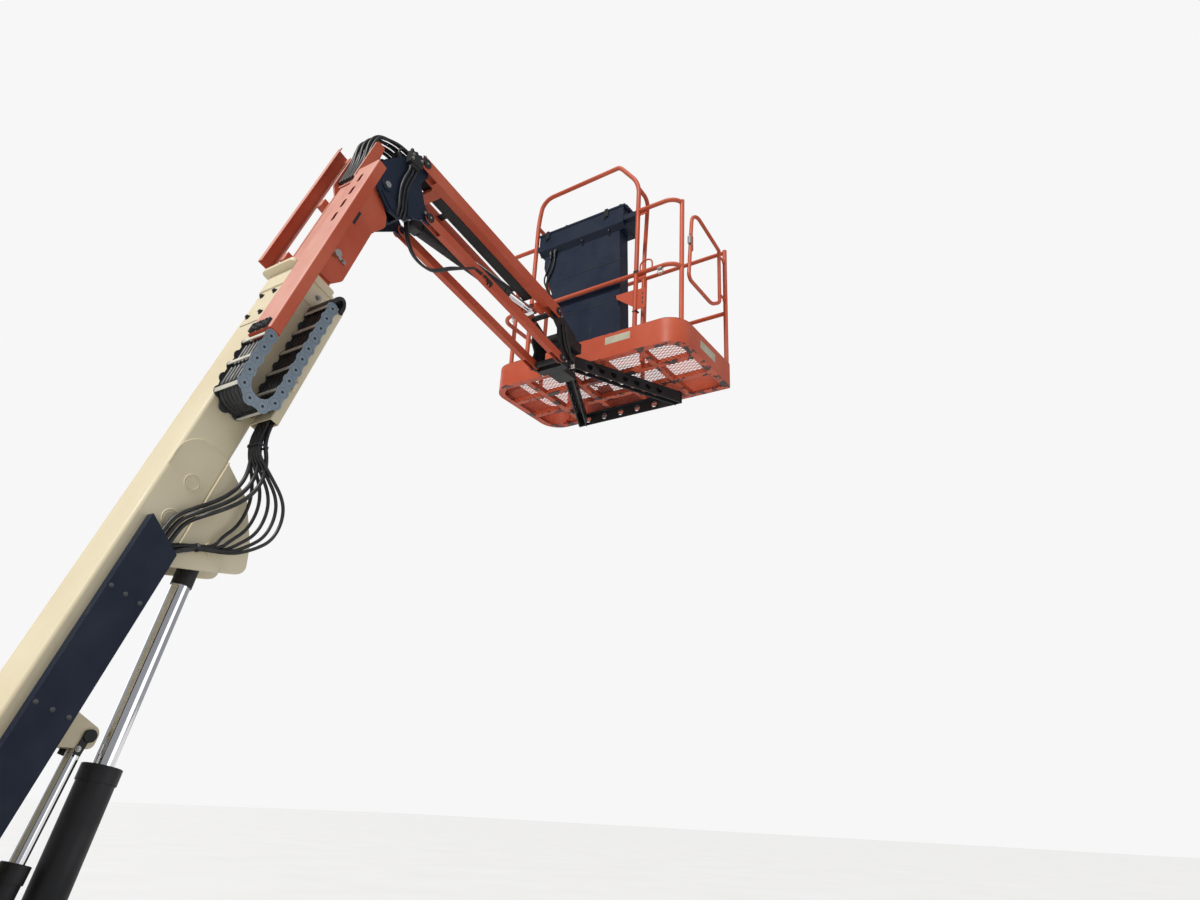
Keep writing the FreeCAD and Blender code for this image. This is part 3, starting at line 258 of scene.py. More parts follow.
ORANGE_COAT = {"colour": (0.42, 0.06, 0.022), "faded": (0.5, 0.105, 0.052),
               "grime": (0.2, 0.06, 0.04), "chips": (0.035, 0.022, 0.02), "sheen": 0.35}
CREAM = paint("cream_paint", (0.6, 0.52, 0.355), (0.67, 0.6, 0.43), (0.36, 0.29, 0.19),
              rough=0.46, chip_level=0.76, sheen=0.35)
ORANGE = paint("orange_paint", rough=0.44, chip_level=0.71, **ORANGE_COAT)
# Orange with a painted highlight on the faces toward the light, for the fly boom
HIGHLIGHTED_ORANGE = paint("orange_paint_with_painted_highlight", rough=0.48, chip_level=0.72,
                      highlight_tint=(0.62, 0.33, 0.27), **ORANGE_COAT)
NAVY = paint("navy_paint", (0.005, 0.01, 0.027), (0.01, 0.018, 0.036), (0.045, 0.05, 0.055),
             chips=(0.12, 0.12, 0.12), chip_level=0.77, sheen=0.22)
BLACK = paint("black_paint", (0.012, 0.012, 0.013), (0.022, 0.022, 0.024), (0.06, 0.055, 0.05),
              rough=0.44, chips=(0.16, 0.1, 0.07), chip_level=0.75, sheen=0.3)
CAST = paint("cast_paint", (0.055, 0.057, 0.062), (0.085, 0.086, 0.09), (0.1, 0.085, 0.07),
             rough=0.5, chips=(0.16, 0.09, 0.06), chip_level=0.72)
CHROME = metal("chrome_rod", (0.86, 0.86, 0.87), 0.05, 0.07)
ZINC = metal("zinc_steel", (0.6, 0.62, 0.64), 0.26, 0.22)
BOLT = metal("bolt_zinc", (0.45, 0.44, 0.42), 0.34, 0.2)
HOSE = rubber("black_hose", (0.008, 0.008, 0.009), (0.03, 0.03, 0.03), 0.42, 14)
TYRE = rubber("solid_tyre", (0.014, 0.014, 0.014), (0.075, 0.068, 0.058), 0.74, 6)
PLASTIC = rubber("dark_plastic", (0.012, 0.015, 0.022), (0.035, 0.04, 0.05), 0.5, 8)
SIGNAL_RED = rubber("red_button", (0.55, 0.012, 0.01), (0.45, 0.02, 0.015), 0.34, 12)
TRACK_STEEL = metal("track_plate_steel", (0.27, 0.325, 0.375), 0.36, 0.22)
# Near-black for the power track's own body: painted shade in its channel and sides
TRACK_SHADE = rubber("track_chain_painted_shade", (0.03, 0.034, 0.04), (0.06, 0.062, 0.066), 0.5, 10)
PALE_BAR = rubber("pale_cross_bar", (0.6, 0.58, 0.5), (0.42, 0.4, 0.34), 0.45, 12)
PLATE_GREY = rubber("bare_plate", (0.44, 0.42, 0.31), (0.31, 0.3, 0.22), 0.45, 10)

BY_SLOT = {"cream_paint": CREAM, "orange_paint": ORANGE, "navy_paint": NAVY, "black_paint": BLACK,
           "cast_grey": CAST, "chrome_rod": CHROME, "zinc_steel": ZINC, "black_hose": HOSE,
           "solid_tyre": TYRE}
# The slot that each material belongs to, where a piece names no other one
SLOT_OF = {material: slot for slot, material in BY_SLOT.items()}
SLOT_OF.update({BOLT: "zinc_steel", PLASTIC: "black_hose", SIGNAL_RED: "orange_paint",
                TRACK_STEEL: "zinc_steel", PALE_BAR: "zinc_steel", PLATE_GREY: "zinc_steel"})
EDGE = 0.0022
SHARP = math.radians(38)
SMOOTH_ONLY = ("boom_hose", "jib_pipe", "platform_rails", "gate")


def soften(item, width=EDGE, segments=2):
    put(item.modifiers.new("edge", "BEVEL"), width=width, segments=segments,
        limit_method="ANGLE", angle_limit=SHARP, use_clamp_overlap=True, harden_normals=True)


def dress(node, material):
    for place in node.material_slots:
        place.material = material


for entry in RECORD["subparts"]:
    dress(NODES[entry["node"]], BY_SLOT[entry["material_slot"]])
    if not entry["node"].startswith(SMOOTH_ONLY):
        soften(NODES[entry["node"]])
# The power track's own body gets the near-black painted shade
dress(NODES["power_track"], TRACK_SHADE)
toe = NODES["platform_frame"]
low_edge = (toe.matrix_world.inverted() @ FLOOR_LOW).z
WORN_ORANGE = paint("worn_orange_paint", rough=0.44, chip_level=0.71, **ORANGE_COAT,
                    worn_heights=((low_edge + 0.002, 0.016), (low_edge + 0.18, 0.012)))
dress(toe, WORN_ORANGE)
# The fly boom's orange parts get the painted highlight
FLY_NODES = RECORD["behaviour"]["bodies"]["fly"]
for entry in RECORD["subparts"]:
    if entry["node"] in FLY_NODES and entry["material_slot"] == "orange_paint":
        dress(NODES[entry["node"]], HIGHLIGHTED_ORANGE)


# Cosines and sines round a circle
def circle(count, offset=0.0, closed=False):
    turns = [2 * math.pi * (k + offset) / count for k in range(count + closed)]
    return [(math.cos(a), math.sin(a)) for a in turns]


# Smooth line through given points, as points along it
def smooth_line(points, steps=8):
    points = [Vector(p) for p in points]
    ends = [points[0] * 2 - points[1]] + points + [points[-1] * 2 - points[-2]]
    line = []
    for i in range(1, len(ends) - 2):
        a, b, c, d = ends[i - 1:i + 3]
        for k in range(steps):
            u = k / steps
            line.append(0.5 * (2 * b + (c - a) * u + (2 * a - 5 * b + 4 * c - d) * u * u
                               + (3 * b - a - 3 * c + d) * u ** 3))
    line.append(points[-1])
    return line


# Mesh piece built up from simple solids. Plain numbers are places on its member, and vectors are
# taken as they are.
class Shape:
    waiting = []

    def __init__(self, name, material, member=None, body=None, edge=0.0008, slot=None, smooth=True):
        self.mesh = bmesh.new()
        self.name, self.material, self.member = name, material, member
        self.body = body or (member and member.body)
        self.edge, self.slot, self.smooth = edge, slot or SLOT_OF[material], smooth
        self.waiting.append(self)

    def at(self, spot):
        if self.member and not isinstance(spot, Vector):
            return self.member(*spot)
        return Vector(spot)

    # Round bar or disc between two points, or a cone where its top has another radius
    def rod(self, start, end, radius, sides=24, top=None):
        start, end = self.at(start), self.at(end)
        way = end - start
        turned = way.to_track_quat("Z", "Y").to_matrix().to_4x4()
        bmesh.ops.create_cone(self.mesh, cap_ends=True, segments=sides, radius1=radius,
                              radius2=radius if top is None else top, depth=way.length,
                              matrix=Matrix.Translation((start + end) / 2) @ turned)

    # Hexagon head on a washer, sunk a little into its seat
    def bolt(self, spot, axis, radius=0.009):
        axis = Vector(axis).normalized()
        spot = self.at(spot)
        self.rod(spot - axis * 0.002, spot + axis * 0.002, radius * 1.35, 20)
        self.rod(spot, spot + axis * (0.002 + radius * 0.8), radius, 6)
        self.rod(spot, spot + axis * (0.003 + radius * 0.95), radius * 0.5, 12)

    # Box by its middle, half sizes and two directions
    def box(self, middle, half, way=None, over=None):
        way = Vector(way or (self.member.way if self.member else (1, 0, 0))).normalized()
        over = Vector(over or (self.member.over if self.member else (0, 0, 1))).normalized()
        side = over.cross(way)
        a, b, c = (way * half[0], side * half[1], over * half[2])
        corners = [self.mesh.verts.new(self.at(middle) + a * i + b * j + c * k)
                   for i in (-1, 1) for j in (-1, 1) for k in (-1, 1)]
        for face in ((0, 1, 3, 2), (4, 6, 7, 5), (0, 4, 5, 1), (2, 3, 7, 6), (0, 2, 6, 4),
                     (1, 5, 7, 3)):
            self.mesh.faces.new([corners[i] for i in face])

    # Prism from a flat outline of points, thick along a vector
    def prism(self, outline, depth):
        low = [self.mesh.verts.new(self.at(p)) for p in outline]
        high = [self.mesh.verts.new(self.at(p) + Vector(depth)) for p in outline]
        self.mesh.faces.new(low[::-1])
        self.mesh.faces.new(high)
        for i in range(len(low)):
            j = (i + 1) % len(low)
            self.mesh.faces.new((low[i], low[j], high[j], high[i]))

    # Tube along points
    def tube(self, points, radius, sides=12):
        points = [self.at(p) for p in points]
        rings, side = [], None
        for i, spot in enumerate(points):
            way = (points[min(i + 1, len(points) - 1)] - points[max(i - 1, 0)]).normalized()
            if side is None:
                side = way.orthogonal().normalized()
            side = (side - way * side.dot(way)).normalized()
            other = way.cross(side)
            rings.append([self.mesh.verts.new(spot + (side * x + other * y) * radius)
                          for x, y in circle(sides)])
        for first, second in zip(rings, rings[1:]):
            for k in range(sides):
                m = (k + 1) % sides
                self.mesh.faces.new((first[k], first[m], second[m], second[k]))
        self.mesh.faces.new(rings[0][::-1])
        self.mesh.faces.new(rings[-1])

    # Tube along the smooth line through given points
    def hose(self, points, steps, radius, sides=12):
        self.tube(smooth_line([self.at(p) for p in points], steps), radius, sides)

    def finish(self):
        self.waiting.remove(self)
        bmesh.ops.recalc_face_normals(self.mesh, faces=self.mesh.faces)
        data = bpy.data.meshes.new(self.name)
        self.mesh.to_mesh(data)
        self.mesh.free()
        data.materials.append(self.material)
        item = show(self.name, data)
        if self.smooth:
            for face in data.polygons:
                face.use_smooth = True
            data.set_sharp_from_angle(angle=SHARP)
        if self.edge:
            soften(item, self.edge, 1)
        if self.body:
            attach(item, self.body)
        return item


# Points along a curve that has no thickness yet
def centre_line(curve):
    mesh = bpy.data.meshes.new_from_object(curve)
    spots = [v.co.copy() for v in mesh.vertices]
    bpy.data.meshes.remove(mesh)
    return spots


# Tie drawn tight round the lines that cross a plane near a spot
def tie_round(shape, lines, spot, way, reach, thick=0.0022):
    way = way.normalized()
    side = way.orthogonal().normalized()
    over = way.cross(side)
    marks = []
    for line in lines:
        for a, b in zip(line, line[1:]):
            before, after = (a - spot).dot(way), (b - spot).dot(way)
            if before * after <= 0 and before != after:
                hit = a.lerp(b, before / (before - after)) - spot
                if hit.length < 0.12:
                    marks += [(hit.dot(side) + reach * x, hit.dot(over) + reach * y)
                              for x, y in circle(20)]
                    break
    ring = [spot + side * marks[k][0] + over * marks[k][1]
            for k in geometry.convex_hull_2d(marks)]
    for shift in (-0.003, 0, 0.003):
        shape.tube([p + way * shift for p in ring + ring[:1]], thick, 6)


# Hoses on the main boom, on the routes of the part's source
HOSE_RADIUS = 0.008
COVER_Y = -0.117
FLOOR_H = -0.1162
HOSE_LINES = []


def hose_curve(name, route, node=None, radius=HOSE_RADIUS):
    data = bpy.data.curves.new(name, "CURVE")
    put(data, dimensions="3D", resolution_u=10)
    spline = data.splines.new("NURBS")
    spline.points.add(len(route) - 1)
    for target, spot in zip(spline.points, route):
        target.co = (*spot, 1)
    put(spline, order_u=3, use_endpoint_u=True)
    item = show(name, data)
    line = centre_line(item)
    HOSE_LINES.append(line)
    put(data, bevel_depth=radius, bevel_resolution=5, use_fill_caps=True)
    data.materials.append(HOSE)
    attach(item, "boom")
    if node:
        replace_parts(item, node)


for i in range(3):
    y, drop = -0.14 - 0.022 * i, 0.021 * i
    route = [(1.9, y, FLOOR_H), (1.765, y, FLOOR_H), (1.69, y + 0.004, -0.14 - drop),
             (1.61, y + 0.008, -0.164 - drop), (1.53, y + 0.008, -0.148 - drop),
             (1.455, y + 0.006, -0.104 - drop), (1.39, y + 0.003, -0.052 - drop),
             (1.345, COVER_Y - 0.003, -0.02 - drop), (1.28, COVER_Y, -0.01 - drop),
             (1.19, COVER_Y, -0.006 - drop)]
    hose_curve("boom_hose_run_%d" % (i + 1), [on_boom(*p) for p in route],
               "boom_hose_%d" % (i + 1))

# Hoses carried by the power track, round its loop and down into the duct's upper mouth
TRACK_TOP, TRACK_LOW, TRACK_LOOP = 0.092, -0.0602, 1.884
TRACK_MIDDLE = (TRACK_TOP + TRACK_LOW) / 2
TRACK_RADIUS = (TRACK_TOP - TRACK_LOW) / 2


def loop_place(angle):
    return (TRACK_LOOP - TRACK_RADIUS * math.sin(angle),
            TRACK_MIDDLE + TRACK_RADIUS * math.cos(angle))


hoses = Shape("track_hoses", HOSE, on_boom, edge=0)
for k, y in enumerate((-0.114, -0.137, -0.16, -0.183, -0.206, -0.229)):
    tail = 0.004 * (k % 2)
    route = [(2.085, TRACK_TOP), (2.0, TRACK_TOP), *(loop_place(math.pi * i / 8) for i in range(9)),
             (2.05, TRACK_LOW), (2.2, TRACK_LOW), (2.36, TRACK_LOW), (2.44, TRACK_LOW + 0.006),
             (2.484 + tail, TRACK_LOW - 0.012), (2.492 + tail, -0.092), (2.47, -0.107),
             (2.435, -0.108)]
    hoses.hose([(s, y, h) for s, h in route], 5, 0.0108)

# Side plates, pins and cross bars on the track's links
PITCH, TRACK_START, TRACK_END = 0.06, 2.084, 2.43
PLATE_Y, BARS_Y = -0.2468, -0.172
run_top = TRACK_START - TRACK_LOOP
arc = math.pi * TRACK_RADIUS
rivets = Shape("track_rivets", BLACK, body="boom")
caps = Shape("track_link_caps", TRACK_STEEL, body="boom", edge=0)
rungs = Shape("track_cross_bars", PALE_BAR, body="boom", edge=0.0005)
face = Vector((0, -1, 0))
last_spot = None
for link in range(math.ceil((run_top + arc + TRACK_END - TRACK_LOOP) / PITCH)):
    d = PITCH * link
    if d <= run_top:
        s, h, a = TRACK_START - d, TRACK_TOP, 0
    elif d <= run_top + arc:
        a = (d - run_top) / TRACK_RADIUS
        s, h = loop_place(a)
    else:
        s, h, a = TRACK_LOOP + d - run_top - arc, TRACK_LOW, math.pi
    outer = OUTWARD * math.cos(a) - ALONG * math.sin(a)
    forward = ALONG * math.cos(a) + OUTWARD * math.sin(a)
    spot = on_boom(s, PLATE_Y, h)
    if last_spot is not None:
        way = spot - last_spot
        caps.box((spot + last_spot) / 2 + face * 0.0004, (way.length / 2, 0.0008, 0.0225), way,
                 face.cross(way))
    last_spot = spot
    caps.rod(spot, spot + face * 0.0022, 0.0286, 40)
    rivets.tube([spot + face * 0.0022 + (outer * x + forward * y) * 0.0205
                 for x, y in circle(32, closed=True)], 0.0006, 5)
    rivets.rod(spot, spot + face * 0.0036, 0.0055, 20)
    rivets.rod(spot + face * 0.003, spot + face * 0.0056, 0.0036, 6)
    if link % 2 == 0:
        for side in (1, -1):
            reach = outer * 0.0212 * side
            rungs.box(on_boom(s, BARS_Y, h) + reach, (0.0075, 0.0735, 0.0022), forward, outer)
            for y in (-0.112, -0.232):
                spot = on_boom(s, y, h) + reach
                rungs.rod(spot, spot + outer * 0.0036 * side, 0.0032, 12)
clamp = Shape("track_end_clamp", BLACK, on_boom, edge=0.0015)
clamp.box((2.428, BARS_Y, TRACK_LOW + 0.004), (0.017, 0.07, 0.02))

# Bolts, weld beads and pin keepers on the main boom. The pins of the lift and master cylinders
# have their place, half width and the sides that show.
BOOM_PINS = ((1.325, -0.204, 0.099, (1,)), (0.635, -0.191, 0.05, (-1, 1)))
bolts = Shape("boom_bolts", BOLT, on_boom)
for s in (2.505, 2.545):
    for y in (-0.055, 0.055):
        bolts.bolt((s, y, -0.104), -OUTWARD, 0.011)
for side in (-1, 1):
    for h in (-0.05, 0.05):
        bolts.bolt((2.525, side * 0.096, h), (0, side, 0), 0.011)
for s, h, reach, sides in BOOM_PINS:
    for side in sides:
        bolts.bolt((s - 0.045, side * (reach - 0.002), h + 0.012), (0, side, 0), 0.007)
cover_bolts = Shape("cover_bolts", CAST, on_boom)
for s, h in ((0.29, 0.028), (0.29, -0.05), (0.64, 0.04), (0.64, -0.014), (0.64, -0.068),
             (1.028, 0.04), (1.027, -0.014), (1.025, -0.07)):
    cover_bolts.bolt((s, -0.1283, h), (0, -1, 0), 0.0058)
dark = Shape("boom_top_bolts", BLACK, on_boom, edge=0.0005)
for s in (2.3, 2.433):
    for y in (-0.036, 0.048):
        dark.bolt((s, y, 0.0975), OUTWARD, 0.0095)
dark.box((2.245, 0.003, 0.0977), (0.0022, 0.056, 0.0009))
tab = Shape("duct_fixing_tab", CREAM, on_boom)
tab.box((1.998, -0.238, -0.1), (0.029, 0.0022, 0.0075))
tab.box((1.985, -0.229, -0.1), (0.0035, 0.0095, 0.006))
tab.bolt((2.012, -0.24, -0.1), (0, -1, 0), 0.0045)
keepers = Shape("boom_pin_keepers", BLACK, on_boom)
for s, h, reach, sides in BOOM_PINS:
    for side in sides:
        keepers.box((s - 0.026, side * (reach - 0.0035), h + 0.007), (0.036, 0.003, 0.012))
        keepers.rod((s, side * (reach - 0.0065), h), (s, side * (reach + 0.0035), h), 0.02, 32)
welds = Shape("boom_weld_beads", CREAM, on_boom, edge=0)
for side in (-1, 1):
    y = side * 0.0905
    welds.tube([(1.19 + 0.015 * k, y, -0.0975 + 0.0008 * (k % 2)) for k in range(31)], 0.0042, 8)
    for s in (1.489, 1.336):
        for radius in (0.024, 0.032):
            welds.tube([(s + radius * u, y, radius * v - 0.021)
                        for u, v in circle(32, closed=True)], 0.0024, 8)
    welds.hose([(s, y, h) for s, h in ((1.5, 0.09), (1.588, 0.086), (1.645, 0.04),
                                       (1.663, -0.03), (1.645, -0.092))], 8, 0.0026, 8)
    welds.tube([(0.566, side * 0.043, -0.0985), (0.69, side * 0.043, -0.0985)], 0.0035, 8)
COLLAR_S, COLLAR_Y, COLLAR_H = 2.4645, 0.08928, 0.09672
corners = [(COLLAR_S, i * COLLAR_Y, j * COLLAR_H) for i, j in ((-1, -1), (1, -1), (1, 1), (-1, 1))]
for ends in zip(corners, corners[1:] + corners[:1]):
    welds.tube(ends, 0.004, 8)

# Fly boom: head bolts, slot rims and the push tube's end plates
fly_bolts = Shape("fly_bolts", BOLT, on_boom, "fly")
for s, h in ((2.69, 0.045), (2.69, -0.045), (2.9, 0.045), (2.93, -0.08), (3.12, 0.045),
             (3.14, -0.11), (3.3, 0.085)):
    fly_bolts.bolt((s, 0.08, h), (0, 1, 0), 0.008)
fly_bolts.bolt((2.797, -0.086, -0.062), (0, -1, 0), 0.0075)
fly_bolts.rod((2.8, -0.078, -0.018), (2.8, -0.102, -0.018), 0.019, 32)
fly_bolts.box((2.798, -0.0845, -0.044), (0.008, 0.0035, 0.034))
for s in (2.712, 2.738, 3.115, 3.165):
    fly_bolts.bolt((s, -0.0885, 0.075), OUTWARD, 0.006)
plates = Shape("fly_end_plates", ORANGE, on_boom, "fly")
for s in (3.2715, 2.1165):
    plates.box((s, -0.175, 0.0895), (0.0025, 0.066, 0.024))
clamp = Shape("push_tube_clamps", BLACK, on_boom, "fly")
for y in (-0.136, -0.175, -0.214):
    clamp.box((2.142, y, 0.1225), (0.022, 0.0165, 0.0065))
    for s in (2.13, 2.154):
        clamp.rod((s, y, 0.128), (s, y, 0.1325), 0.0055, 12)
clamp.box((3.066, -0.0802, -0.009), (0.044, 0.0008, 0.0085))

# Wear pads that show between the nose collar and the fly boom
pads = Shape("nose_wear_pads", PLASTIC, on_boom)
for h in (0.0835, -0.0835):
    pads.box((2.608, 0, h), (0.016, 0.048, 0.0052))
for y in (0.0762, -0.0762):
    pads.box((2.608, y, 0), (0.016, 0.0052, 0.05))

# Hoses over the fly boom's nose to the knuckle, then into the jib's tray
over_nose = Shape("nose_hoses", HOSE, edge=0)
into_jib = Shape("jib_lead_in_hoses", HOSE, edge=0)
in_tray = Shape("tray_hoses", HOSE, on_jib, edge=0)
for y, lift in ((-0.058, 0.0), (-0.038, 0.012), (-0.018, 0.002), (0.002, 0.014),
                (0.022, 0.003), (0.042, 0.013), (0.06, 0.004)):
    top = from_nose(0.15, y, 0.331 + lift)
    over_nose.hose([on_boom(3.285, y, 0.094), on_boom(3.42, y, 0.096),
                    on_boom(3.53, y, 0.108 + lift), on_boom(3.6, y, 0.104 + lift),
                    from_nose(-0.03, y, 0.296 + lift * 1.5), from_nose(0.06, y, 0.328 + lift),
                    top], 8, 0.0088)
    tray_y = y * 0.42
    into_jib.hose([from_nose(0.1, y, 0.331 + lift), top, on_jib(0.02, y * 0.9, 0.044 + lift * 0.3),
                   on_jib(0.11, y * 0.7, 0.04), on_jib(0.2, tray_y, 0.022),
                   on_jib(0.3, tray_y, 0.0175)], 8, 0.0085)
    in_tray.hose([(0.29, tray_y, 0.0178), *((s, tray_y, 0.0175 + 0.0015 * (k % 2))
                 for k, s in enumerate((0.4, 0.52, 0.64, 0.76, 0.88, 0.98, 1.05)))],
                 6, 0.0085, 10)
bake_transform(over_nose.finish(), "fly", "knuckle", start=tuple(on_boom(3.52, 0, 0.1)),
         end=tuple(from_nose(0.08, 0, 0.325)))
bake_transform(into_jib.finish(), "knuckle", "jib_upper", start=tuple(from_nose(0.16, 0, 0.34)),
         end=tuple(on_jib(0.17, 0, 0.03)))

# Twin hoses that hang in a loop from below the knuckle to the jib's lower arm
twin = Shape("twin_loop_hoses", HOSE, edge=0)
for y, sag in ((-0.066, 0.0), (-0.084, 0.016)):
    twin.hose([from_nose(0.17, y, -0.04), from_nose(0.18, y - 0.002, -0.11),
               from_nose(0.205, y - 0.008, -0.195 - sag), from_nose(0.262, y - 0.018, -0.262 - sag),
               from_nose(0.365, y - 0.028, -0.27 - sag),
               on_lower_arm(0.225, -0.118, -0.15 - sag * 0.8),
               on_lower_arm(0.31, -0.121, -0.08), on_lower_arm(0.372, -0.1235, -0.022)],
              10, 0.007)
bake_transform(twin.finish(), "knuckle", "jib_lower", start=tuple(from_nose(0.19, -0.07, -0.13)),
         end=tuple(LOWER_NEAR + JIB_WAY * 0.35 + Vector((0, -0.12, -0.02))))

arm_fittings = Shape("jib_lower_fittings", BLACK, on_lower_arm)
for s, h in ((0.385, -0.018), (0.412, -0.012), (0.452, -0.006)):
    arm_fittings.rod((s, -0.118, h), (s + 0.022, -0.122, h + 0.003), 0.0095, 6)
arm_fittings.box((0.505, -0.117, -0.008), (0.024, 0.007, 0.012))
for s in (0.495, 0.518):
    arm_fittings.rod((s, -0.117, -0.016), (s, -0.117, -0.036), 0.0055, 6)

# Valve block on the knuckle's right plate, with its fittings, ribs and hoses
BLOCK_Y, PLATE_FACE = -0.1215, -0.103
block = Shape("knuckle_valve_block", BLACK, from_nose, edge=0.0015)
block.box((0.13, BLOCK_Y, 0.25), (0.044, 0.0175, 0.036))
block.box((0.13, BLOCK_Y, 0.205), (0.03, 0.013, 0.012))
for x in (0.1, 0.13, 0.16):
    block.rod((x, BLOCK_Y, 0.284), (x, BLOCK_Y, 0.304), 0.01, 6)
fittings = Shape("knuckle_fittings", BOLT, from_nose)
fittings.rod((0, -0.106, 0), (0, -0.1155, 0), 0.017, 28)
for y in (-0.066, -0.084):
    fittings.rod((0.168, y, -0.062), (0.172, y, -0.092), 0.0105, 6)
for x, z in ((0.1, 0.262), (0.1, 0.238), (0.16, 0.262)):
    fittings.bolt((x, -0.139, z), (0, -1, 0), 0.006)
rib = Shape("knuckle_side_ribs", NAVY, from_nose, edge=0.0015)
for thick, outline in (
        (0.008, ((0.128, 0.086), (0.15, -0.086), (0.236, -0.058), (0.24, 0.064))),
        (0.006, ((-0.03, -0.052), (0.04, -0.112), (0.108, -0.112), (0.112, -0.06)))):
    rib.prism([(x, PLATE_FACE, z) for x, z in outline], (0, -thick, 0))
rib.rod((0, PLATE_FACE, 0), (0, -0.1105, 0), 0.034, 40)
loops = Shape("knuckle_hose_loops", HOSE, from_nose, edge=0)
for y, left, height in ((-0.08, 0.052, 0.306), (-0.056, 0.072, 0.296), (-0.03, 0.058, 0.302),
                        (0.034, 0.064, 0.294), (0.07, 0.056, 0.304)):
    loops.hose([(0.144, y, 0.272), (0.134, y, height - 0.01), (0.104, y, height),
                (left + 0.012, y, height - 0.01), (left, y, 0.262),
                (left + 0.024, y - 0.004, 0.238), (0.142, y - 0.004, 0.24)], 7, 0.007, 10)
for k in range(3):
    x = 0.106 + 0.021 * k
    loops.hose([(x, -0.1215, 0.203), (x - 0.004, -0.1235, 0.165), (x - 0.022, -0.1215, 0.105),
                (x - 0.032, -0.119, 0.045), (x - 0.03, -0.1175, -0.02),
                (x - 0.024, -0.1165, -0.08), (x - 0.02, -0.101, -0.126)], 7, 0.0066, 10)


# Pin caps with keeper plates at a pivot, both sides
def pin_caps(name, body, pins):
    caps = Shape(name + "_caps", BLACK, body=body)
    heads = Shape(name + "_bolts", BOLT, body=body)
    for spot, reach, radius, way in pins:
        way = Vector(way).normalized()
        for side in (-1, 1):
            out = Vector((0, side, 0))
            face = Vector((spot.x, side * reach, spot.z))
            caps.rod(face - out * 0.004, face + out * 0.004, radius * 1.28, 36)
            bar = face + way * radius * 1.35 - out * 0.003
            caps.box(bar, (radius * 0.95, 0.0025, radius * 0.55), way, way.cross(out))
            heads.bolt(face + way * radius * 1.9 - out * 0.001, out, radius * 0.28)
            heads.rod(face + out * 0.002, face + out * 0.0065, radius * 0.35, 6)


LIFT_FOOT, MASTER_FOOT = joint_at("lift_cylinder_tilt"), joint_at("master_cylinder_tilt")
pin_caps("jib_near_pins", "knuckle", ((UPPER_NEAR, 0.131, 0.02, (-0.4, 0, 0.6)),
                                      (LOWER_NEAR, 0.122, 0.02, (-1, 0, 0.2))))
pin_caps("jib_far_pins", "jib_end", (
    (UPPER_FAR, 0.131, 0.02, (0.6, 0, -0.5)),
    (UPPER_FAR + LOWER_NEAR - UPPER_NEAR, 0.122, 0.02, (1, 0, -0.2))))
pin_caps("upright_pins", "upright", (
    (BOOM_PIVOT, 0.1235, 0.036, (-0.7, 0, -1)),
    (joint_at("tower_level"), 0.1235, 0.03, (0.6, 0, 1)),
    (LIFT_FOOT, 0.1235, 0.028, (-1, 0, -0.3)), (MASTER_FOOT, 0.1235, 0.022, (-0.6, 0, -1))))
pin_caps("turntable_pins", "turntable", ((joint_at("tower_lift"), 0.153, 0.029, (-1, 0, -0.2)),
                                         (joint_at("tower_link"), 0.153, 0.02, (-1, 0, 0))))

# More hoses beside the three of the part's source, which hang deeper past the bracket:
# across in the duct, across at the hang, depth of the hang, then across and height at the tie
# and in the side cover
DEEP_RADIUS = 0.0065
DEEP_HOSES = ((-0.13, -0.124, 0.232, -0.113, -0.122, -0.1005, -0.024),
              (-0.144, -0.14, 0.262, -0.127, -0.122, -0.1005, -0.041),
              (-0.158, -0.158, 0.292, -0.106, -0.134, -0.1005, -0.058),
              (-0.172, -0.176, 0.318, -0.133, -0.134, -0.117, -0.074),
              (-0.186, -0.192, 0.342, -0.12, -0.143, -0.1005, -0.076))
top = FLOOR_H + 0.0155
for i, (duct_y, hang_y, depth, tie_y, tie_h, in_y, in_h) in enumerate(DEEP_HOSES):
    points = [(1.9, duct_y, top), (1.79, duct_y, top), (1.735, duct_y, top - 0.01),
              (1.69, duct_y, top - 0.032), (1.648, hang_y, -0.096 - depth * 0.34),
              (1.6, hang_y, -depth * 0.9), (1.53, hang_y, -depth * 1.01),
              (1.44, hang_y, -depth * 1.01), (1.37, hang_y, -depth * 0.87),
              (1.325, (hang_y + tie_y) / 2, -depth * 0.5 - 0.08), (1.292, tie_y, tie_h - 0.012),
              (1.262, (tie_y + in_y) / 2, (tie_h + in_h) / 2 - 0.006), (1.226, in_y, in_h),
              (1.19, in_y, in_h), (1.13, in_y, in_h)]
    hose_curve("boom_hose_run_%d" % (i + 4), [on_boom(*p) for p in points], radius=DEEP_RADIUS)
ties = Shape("hose_ties", PLASTIC, body="boom", edge=0)
tie_round(ties, HOSE_LINES, on_boom(1.728, -0.16, -0.125), ALONG + OUTWARD * 0.2,
          HOSE_RADIUS + 0.001)
tie_round(ties, HOSE_LINES[3:], on_boom(1.292, -0.12, -0.142),
          ALONG * -0.5 + OUTWARD * 0.85 + Vector((0, 0.15, 0)), DEEP_RADIUS + 0.001)

# Tyres: carcass turned from a profile, with slanting lugs all round
HALF_WIDTH, HALF_TYRE = 0.965, 0.12
TYRE_PROFILE = ((0.0948, 0.2035), (0.0948, 0.213), (0.112, 0.232), (0.1185, 0.262), (0.1195, 0.3),
                (0.114, 0.334), (0.098, 0.3455), (0.05, 0.3475), (0.0, 0.348))
# Across, low and high radius and slant of a lug at each of its stations
LUG_STATIONS = ((0.004, 0.34, 0.3592, 0.0), (0.04, 0.34, 0.3592, 0.03),
                (0.08, 0.338, 0.358, 0.1), (0.104, 0.33, 0.3535, 0.13),
                (0.1185, 0.3, 0.337, 0.145), (0.119, 0.285, 0.305, 0.15))
LUGS, LUG_SPREAD = 22, 0.019
WHEEL_SIDES = 96


def wheel_spot(hub, y, radius, angle):
    return hub + Vector((radius * math.sin(angle), y, radius * math.cos(angle)))


